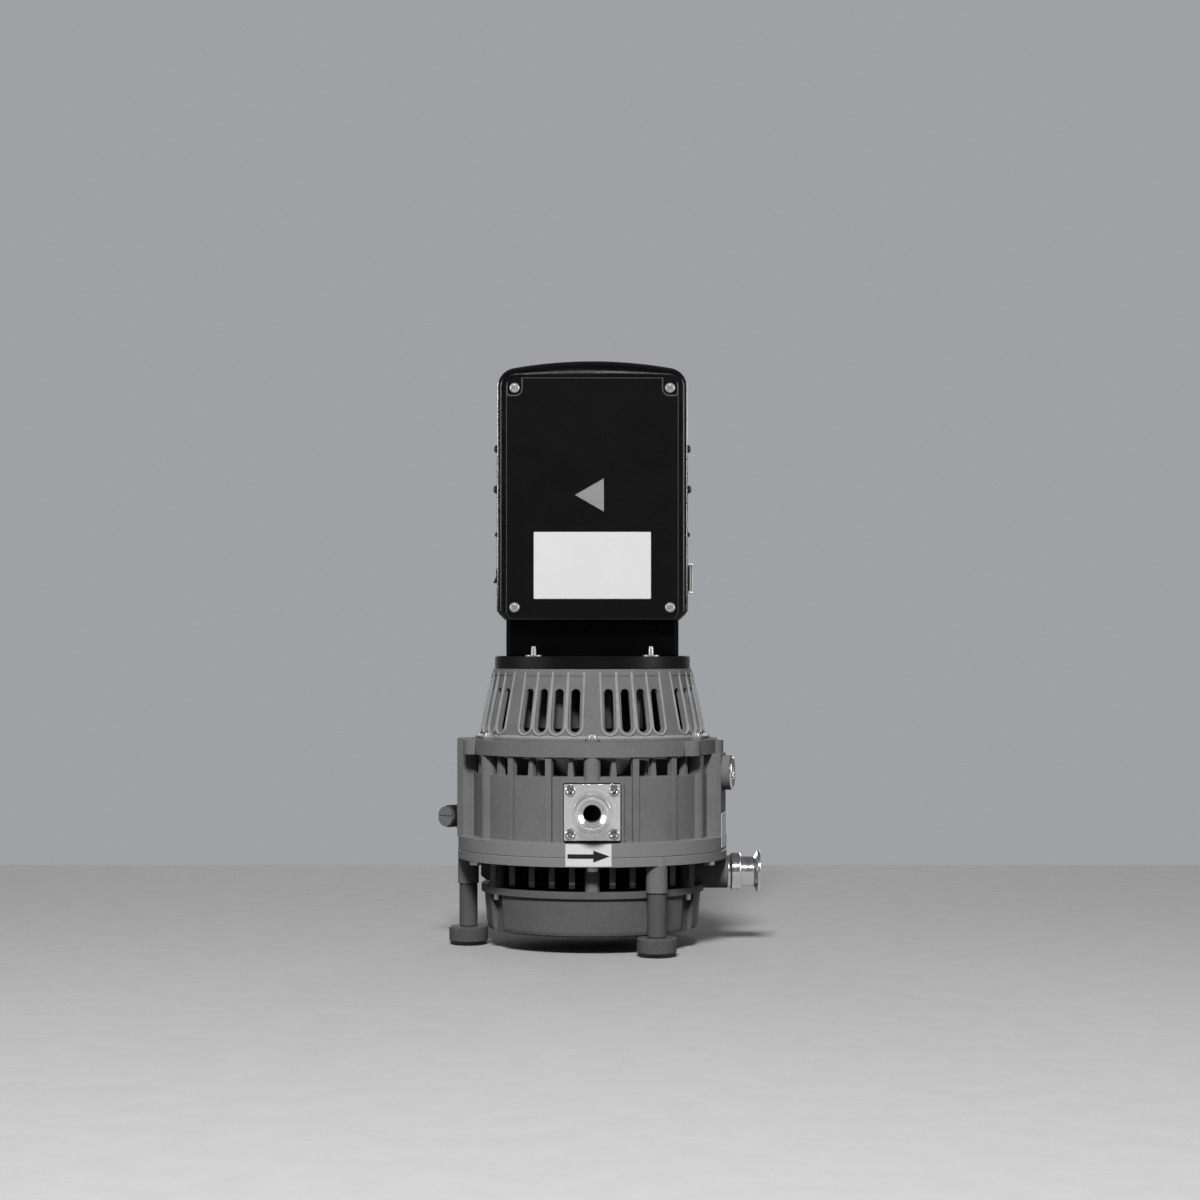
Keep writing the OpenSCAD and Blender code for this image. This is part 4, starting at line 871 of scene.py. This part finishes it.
# %% Put sets of screws where CAD has them
def run_tree(name, tree, mesh, **inputs):
    """A plain mesh piece that a Geometry Nodes tree makes from a mesh of points."""
    piece = new_piece(name, mesh)
    modifier = piece.modifiers.new("build", "NODES")
    modifier.node_group = tree
    keys = {item.name: item.identifier for item in tree.interface.items_tree if item.in_out == "INPUT"}
    for label, value in inputs.items():
        modifier[keys[label.replace("_", " ")]] = value
    return baked(piece)


def seats(node, axis, depth):
    """Where the heads of a node's screws sit, depth below their tops, and the way each one faces."""
    rows = []
    for low, high in islands(node):
        middle = (low + high) / 2
        way = Vector((math.copysign(1, middle.x), 0, 0)) if axis[0] else Vector(axis)
        tip = [high[i] if way[i] > 0 else low[i] if way[i] < 0 else middle[i] for i in range(3)]
        rows.append((Vector(tip) - way * depth, way))
    return rows


def fasteners(name, tree, node, rows, **sizes):
    """A piece with a screw or bolt at each seat, which takes the place of a CAD node."""
    mesh = bpy.data.meshes.new(name)
    mesh.from_pydata([place for place, way in rows], [], [])
    attribute = mesh.attributes.new("axis", "FLOAT_VECTOR", "POINT")
    attribute.data.foreach_set("vector", [value for place, way in rows for value in way])
    stands_for(run_tree(name, tree, mesh, Finish=finish_of(node), **sizes), node)


UP, DOWN, FORWARD, OUTWARD = (0, 0, 1), (0, 0, -1), (0, -1, 0), (1, 0, 0)
fasteners("cover_screw_heads", screw_tree, "cover_screws", seats("cover_screws", FORWARD, 2.6 * MM),
          Head_Radius=4.9 * MM, Head_Height=2.6 * MM, Fullness=0.4, Recess=0.5,
          Shank_Radius=2 * MM, Shank_Length=6 * MM)
fasteners("shroud_screw_heads", screw_tree, "shroud_screws", seats("shroud_screws", UP, 4.4 * MM),
          Head_Radius=4.2 * MM, Head_Height=3.4 * MM, Fullness=0.35, Recess=0.55,
          Washer_Radius=5.2 * MM, Washer_Thickness=1.0 * MM, Shank_Radius=2.5 * MM, Shank_Length=13 * MM)
fasteners("flange_studs", screw_tree, "flange_screws", seats("flange_screws", UP, 9.5 * MM),
          Head_Radius=2.5 * MM, Head_Height=8.3 * MM, Fullness=0.22, Recess=0.02,
          Washer_Radius=8.0 * MM, Washer_Thickness=1.2 * MM, Shank_Radius=2.4 * MM, Shank_Length=9.5 * MM)

# The lowest screw on each side is a smaller one.
SMALL_BELOW = 0.41
side_rows = seats("side_screws", OUTWARD, 4 * MM)
low_rows = [(place + way * 1.1 * MM, way) for place, way in side_rows if place.z < SMALL_BELOW]
high_rows = [row for row in side_rows if row[0].z >= SMALL_BELOW]
fasteners("side_screw_heads", screw_tree, "side_screws", high_rows, Head_Radius=4.0 * MM,
          Head_Height=4.2 * MM, Fullness=0.55, Recess=0.3, Shank_Radius=1.5 * MM, Shank_Length=5 * MM)
fasteners("small_side_screws", screw_tree, "side_screws", low_rows, Head_Radius=2.5 * MM,
          Head_Height=2.8 * MM, Fullness=0.6, Recess=0.3, Shank_Radius=1.5 * MM, Shank_Length=5 * MM)


# %% [markdown]
# ## Bolts
# The bolts under the ring and the bottom cover stand out against the dark fins, and four more hold
# the port plate. Their tree raises a head with as many sides as it is given, draws its end in for
# the chamfer that every turned head has, and sinks a recess in it.

# %% Tree for bolts
def raised(shape, face, rise, share):
    """Pushes a face of a shape out by rise and scales it. Gives the shape and the new face."""
    outputs = add(shape.tree, "GeometryNodeExtrudeMesh",
                  {"Mesh": shape, "Selection": face, "Offset Scale": rise}).outputs
    top = Value(outputs["Top"])
    inputs = {"Geometry": Value(outputs["Mesh"]), "Selection": top, "Scale": share}
    return made(shape.tree, "GeometryNodeScaleElements", inputs), top


def build_bolt_tree():
    tree, start = new_group("bolt_set", {
        "Places": "Geometry", "Sides": 6, "Head Radius": 0.0055, "Head Height": 0.0045, "Chamfer": 0.0007,
        "Recess": 0.55, "Recess Depth": 0.001, "Recess Floor": 0.97, "Shank Radius": 0.003,
        "Shank Length": 0.01, "Seed": 5, "Finish": "Material"}, ("Geometry",), "GeometryNodeTree")
    radius, chamfer = start["Head Radius"], start["Chamfer"]
    body = start["Head Height"] - chamfer
    outputs = add(tree, "GeometryNodeMeshCylinder",
                  {"Vertices": start["Sides"], "Radius": radius, "Depth": body}).outputs
    head, face = raised(Value(outputs["Mesh"]), Value(outputs["Top"]), chamfer, 1.0 - chamfer / radius)
    head, face = raised(head, face, 0.0, start["Recess"])
    head, face = raised(head, face, start["Recess Depth"] * -1.0, start["Recess Floor"])
    shank = drum(tree, start["Shank Radius"], start["Shank Length"], start["Shank Length"] * -0.45, 20)
    set_out(tree, start, joined(tree, shank, lifted(head, body * 0.5)))
    return tree


bolt_tree = build_bolt_tree()
fasteners("ring_bolt_heads", bolt_tree, "ring_bolts", seats("ring_bolts", DOWN, 4.5 * MM),
          Shank_Radius=3 * MM, Shank_Length=14 * MM)
fasteners("cover_bolt_heads", bolt_tree, "cover_bolts", seats("cover_bolts", DOWN, 6 * MM), Sides=28,
          Head_Radius=3.4 * MM, Head_Height=6 * MM, Chamfer=0.5 * MM, Recess_Depth=2.6 * MM,
          Shank_Radius=2 * MM, Shank_Length=14 * MM)
fasteners("port_screw_heads", bolt_tree, "exhaust_screws", seats("exhaust_screws", FORWARD, 3.2 * MM),
          Sides=28, Head_Radius=4.9 * MM, Head_Height=3.2 * MM, Chamfer=1.0 * MM, Recess=0.85,
          Recess_Depth=1.9 * MM, Recess_Floor=0.4, Shank_Radius=2.5 * MM, Shank_Length=10 * MM)


# %% [markdown]
# ## Wire retainer
# A spring wire clip holds the mains plug in its socket. It is one wire bent four times, so a path
# with small round bends, given thickness as a curve, is closer to it than straight rods.

# %% Bend the wire
def rounded_path(corners, radius, steps=6):
    """The corners joined by straight runs with a round bend at each inner corner."""
    corners = [Vector(corner) for corner in corners]
    points = [corners[0]]
    for back, corner, on in zip(corners, corners[1:], corners[2:]):
        start = corner + (back - corner).normalized() * radius
        end = corner + (on - corner).normalized() * radius
        points += [start.lerp(corner, k / steps).lerp(corner.lerp(end, k / steps), k / steps)
                   for k in range(steps + 1)]
    return points + [corners[-1]]


def wire(name, points, radius):
    """A closed mesh tube along points."""
    line = bpy.data.curves.new(name, "CURVE")
    line.dimensions, line.bevel_depth, line.bevel_resolution, line.use_fill_caps = "3D", radius, 4, True
    spline = line.splines.new("POLY")
    spline.points.add(len(points) - 1)
    for point, place in zip(spline.points, points):
        point.co = (*place, 1)
    piece = bpy.data.objects.new(name, line)
    bpy.context.scene.collection.objects.link(piece)
    mesh = bpy.data.meshes.new_from_object(piece.evaluated_get(bpy.context.evaluated_depsgraph_get()))
    bpy.data.objects.remove(piece)
    return new_piece(name, mesh)


WIRE_R, BEND_R = 0.9 * MM, 1.3 * MM
pivot = (HALF_W + 2.4 * MM, -11.6 * MM)
reach = (pivot[0] + 4.4 * MM, pivot[1] + 24 * MM)
middle_z = (socket_low.z + socket_high.z) / 2
END_UP, ARM_UP = 10.7 * MM, 13.5 * MM
corners = [(*pivot, middle_z - END_UP), (*pivot, middle_z - ARM_UP), (*reach, middle_z - ARM_UP),
           (*reach, middle_z + ARM_UP), (*pivot, middle_z + ARM_UP), (*pivot, middle_z + END_UP)]
stands_for(wire("retainer_wire", rounded_path(corners, BEND_R), WIRE_R), "cord_retainer")


# %% [markdown]
# ## Rims and foot of the fan shroud
# A round rim runs down both sides of each slot and under it, and the foot of the cone sweeps out to
# its flange. One path over the cone is the rim of one slot. The tree gives it thickness and repeats
# it for every slot, in sectors of four. The foot is turned from an outline and cut for the screws.

# %% Tree for rims
def build_rim_tree():
    tree, start = new_group("rim_set", {
        "Path": "Geometry", "Thickness": 0.0026, "Sides": 10, "Sectors": 8, "Slots": 4, "Pitch": 0.16,
        "Finish": "Material"}, ("Geometry",), "GeometryNodeTree")
    slots = start["Slots"]
    line = made(tree, "GeometryNodeMeshToCurve", {"Mesh": start["Path"]})
    section = made(tree, "GeometryNodeCurvePrimitiveCircle",
                   {"Resolution": start["Sides"], "Radius": start["Thickness"] * 0.5})
    rim = made(tree, "GeometryNodeCurveToMesh", {"Curve": line, "Profile Curve": section, "Fill Caps": True})

    def angle_of(number):
        sector = maths("FLOOR", number / slots)
        off_middle = number - sector * slots - (slots - 1.0) * 0.5
        return (sector + 0.5) * (math.tau / start["Sectors"]) + off_middle * start["Pitch"]

    end_tree(tree, start, copied_round(rim, start["Sectors"] * slots, angle_of))
    return tree


# %% Rims on the cone
def radius_at(node, level):
    """The largest radius of a node's corners at one height."""
    near = [v.co for v in nodes[node].data.vertices if abs(v.co.z - level) < 0.05 * MM]
    return max(math.hypot(at.x, at.y) for at in near)


shroud_low, shroud_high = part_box("fan_shroud")
CONE_FOOT = shroud_low.z + 5 * MM
foot_r, top_r = radius_at("fan_shroud", CONE_FOOT), radius_at("fan_shroud", shroud_high.z)
RIM_HALF, RIM_SUNK = 7.4 * MM, 0.9 * MM
RIM_BEND_Z, RIM_TOP_Z = shroud_low.z + 13.4 * MM, shroud_high.z - 2.5 * MM
SLOT_PITCH = math.radians(9.1)


def cone_r(level):
    return foot_r - (foot_r - top_r) * (level - CONE_FOOT) / (shroud_high.z - CONE_FOOT)


def on_cone(x, level):
    """A point on the front of the cone, sunk a little more the higher it is."""
    sunk = RIM_SUNK * max(0.0, (level - RIM_BEND_Z) / (RIM_TOP_Z - RIM_BEND_Z)) ** 2
    return Vector((x, -math.sqrt((cone_r(level) - sunk) ** 2 - x ** 2), level))


levels = [RIM_TOP_Z + (RIM_BEND_Z - RIM_TOP_Z) * k / 12 for k in range(12)]
bend = [math.radians(180 + 12 * k) for k in range(16)]
route = [(-RIM_HALF, z) for z in levels]
route += [(RIM_HALF * math.cos(a), RIM_BEND_Z + RIM_HALF * math.sin(a)) for a in bend]
route += [(RIM_HALF, z) for z in reversed(levels)]
rim_path = bpy.data.meshes.new("rim_path")
rim_path.from_pydata([on_cone(x, z) for x, z in route], [(k, k + 1) for k in range(len(route) - 1)], [])
rims = run_tree("slot_rims", build_rim_tree(), rim_path, Finish=FINISHES["slot_rims"], Pitch=SLOT_PITCH)
added_to(rims, "fan_shroud", FINISHES["slot_rims"])


# %% Sweep of the foot
def turned_ring(outline, sides=144):
    """A closed ring whose outline is points (radius, z)."""
    angles = [math.tau * k / sides for k in range(sides)]
    rings = [[(r * math.sin(a), -r * math.cos(a), z) for r, z in outline] for a in angles]
    return skinned(rings, closed=True)


SWEEP_LOW, SWEEP_TOP = shroud_low.z + 3 * MM, shroud_low.z + 6.6 * MM
SWEEP_DEEP, SWEEP_SUNK, HEAD_ROOM = 2.5 * MM, 0.5 * MM, 5.6 * MM
sweep_out = foot_r + 4.2 * MM
sweep_in = cone_r(SWEEP_TOP) - 0.1 * MM
sweep_rise = SWEEP_TOP - SWEEP_LOW - 0.3 * MM
outline = [(sweep_in - SWEEP_DEEP, SWEEP_TOP), (sweep_in - SWEEP_DEEP, SWEEP_LOW - SWEEP_SUNK),
           (sweep_out, SWEEP_LOW - SWEEP_SUNK)]
for a in [k / 8 * math.pi / 2 for k in range(9)]:
    outline.append((sweep_out - (sweep_out - sweep_in) * math.sin(a), SWEEP_TOP - sweep_rise * math.cos(a)))
screws = [(low + high) / 2 for low, high in islands("shroud_screws")]
sweep = cut(new_piece("foot_sweep", turned_ring(outline)), [
    cutter(rod, (at.x, at.y, SWEEP_LOW), (at.x, at.y, SWEEP_TOP + PAST), HEAD_ROOM) for at in screws])
added_to(sweep, "fan_shroud", FINISHES["foot_sweep"])


# %% [markdown]
# ## Cooling fan
# The fan draws air down over the motor disc and throws it out through the slots. Its blades curve
# backwards. The tree bends one long box into a blade by turning each point more the further out it
# is, then puts copies round the hub and adds the plate.

# %% Tree for the fan
def build_fan_tree():
    tree, start = new_group("blade_ring", {
        "Places": "Geometry", "Blades": 12, "Inner Radius": 0.02, "Outer Radius": 0.084, "Height": 0.036,
        "Thickness": 0.0026, "Sweep": -0.5, "Finish": "Material"}, ("Geometry",), "GeometryNodeTree")
    length = start["Outer Radius"] - start["Inner Radius"]
    size = xyz(tree, length, start["Thickness"], start["Height"])
    box = made(tree, "GeometryNodeMeshCube", {"Size": size, "Vertices X": 14})
    x, y, z = parts(made(tree, "GeometryNodeInputPosition"))
    out = x / length + 0.5
    radius = start["Inner Radius"] + out * length
    turn = start["Sweep"] * (out * out)
    cos, sin = maths("COSINE", turn), maths("SINE", turn)
    bent = xyz(tree, radius * cos - y * sin, radius * sin + y * cos, z)
    blade = made(tree, "GeometryNodeSetPosition", {"Geometry": box, "Position": bent})
    blades = copied_round(blade, start["Blades"], lambda number: number * math.tau / start["Blades"])
    end_tree(tree, start, joined(tree, blades, start["Places"]))
    return tree


fan_low, fan_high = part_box("cooling_fan")
FAN_PLATE, FAN_HUB_R, BLADE_ROOM = 3 * MM, 22 * MM, 1 * MM
blade_middle = (fan_low.z + fan_high.z - FAN_PLATE) / 2
hub = bmesh.new()
rod(hub, (0, 0, fan_low.z - blade_middle), (0, 0, fan_high.z - blade_middle), FAN_HUB_R, 64)
rod(hub, (0, 0, fan_high.z - FAN_PLATE - blade_middle), (0, 0, fan_high.z - blade_middle), fan_high.x, 96)
fan = run_tree("fan_wheel", build_fan_tree(), hub, Finish=FINISHES["fan_grey"], Inner_Radius=20 * MM,
               Outer_Radius=fan_high.x - BLADE_ROOM, Height=fan_high.z - FAN_PLATE - fan_low.z)
fan.data.transform(Matrix.Translation((0, 0, blade_middle)))
stands_for(fan, "cooling_fan")


# %% [markdown]
# ## Studio
# The pump stands on a pale table in front of a plain grey wall. One large soft lamp above the
# camera lights it, and two weak ones behind lift its back. A small card beside the main lamp and
# two tall panels at the sides show only as reflections: they draw the crescent over the cover and
# the light bands along the box.

# %% Table
TABLE_HALF, TABLE_NEAR, TABLE_FAR = 2.5, -4, 0.916
sheet = bpy.data.meshes.new("table")
sheet.from_pydata([(-TABLE_HALF, TABLE_NEAR, 0), (TABLE_HALF, TABLE_NEAR, 0),
                   (TABLE_HALF, TABLE_FAR, 0), (-TABLE_HALF, TABLE_FAR, 0)], [], [(0, 1, 2, 3)])
table = new_piece("table", sheet)
top = Finish("table_top", grey(188), 0.6, specular=0.0)
top.tint(top.effect(moulded_skin, Grain=6 * MM)["Marks"], grey(182), 0.6)
# Bounced light sees a dark grey table while the camera sees a pale one: this paints deeper shade on the
# pump's sides and underside.
top.tint(made(top.tree, "ShaderNodeLightPath", output="Is Diffuse Ray"), grey(80))
dress(table, top.done())


# %% Wall and room light
world = bpy.data.worlds.new("room")
bpy.context.scene.world = world
world.use_nodes = True
room = world.node_tree
room.nodes.clear()
rays = add(room, "ShaderNodeLightPath").outputs
seen = maths("MAXIMUM", Value(rays["Is Camera Ray"]), Value(rays["Is Transmission Ray"]))
soft_light = made(room, "ShaderNodeBackground", {"Color": (*grey(255), 1), "Strength": 0.11})
wall = made(room, "ShaderNodeBackground", {"Color": (*linear(160, 161, 164), 1), "Strength": 1.0})
mixed = made(room, "ShaderNodeMixShader", {0: seen, 1: soft_light, 2: wall})
add(room, "ShaderNodeOutputWorld", {"Surface": mixed})


# %% Lamps
LAMPS = {  # name: place, height it faces, width, height, watts, whether it lights, whether it shines
    "key": ((-0.15, -3.0, 2.45), 0.25, 0.8, 0.65, 150, True, False),
    "crown_card": ((-0.05, -2.3, 1.95), 0.25, 0.2, 0.3, 12, False, True),
    "side_right": ((1.5, -0.5, 0.75), 0.35, 0.16, 0.9, 13, False, True),
    "side_left": ((-1.5, -0.4, 0.75), 0.35, 0.14, 0.9, 10, False, True),
    "back_right": ((0.9, 2.6, 0.7), 0.3, 0.8, 0.6, 12, True, True),
    "back_left": ((-0.9, 2.6, 0.7), 0.3, 0.8, 0.6, 12, True, True),
}
for name, (place, aim, width, height, watts, lights, shines) in LAMPS.items():
    lamp_data = bpy.data.lights.new(name, "AREA")
    lamp_data.shape = "RECTANGLE"
    lamp_data.size, lamp_data.size_y, lamp_data.energy = width, height, watts
    lamp = bpy.data.objects.new(name, lamp_data)
    lamp.location = place
    lamp.rotation_euler = (Vector((0, 0, aim)) - Vector(place)).to_track_quat("-Z", "Y").to_euler()
    lamp.visible_diffuse, lamp.visible_glossy, lamp.visible_camera = lights, shines, False
    bpy.context.scene.collection.objects.link(lamp)
print("lamps:", ", ".join(LAMPS))
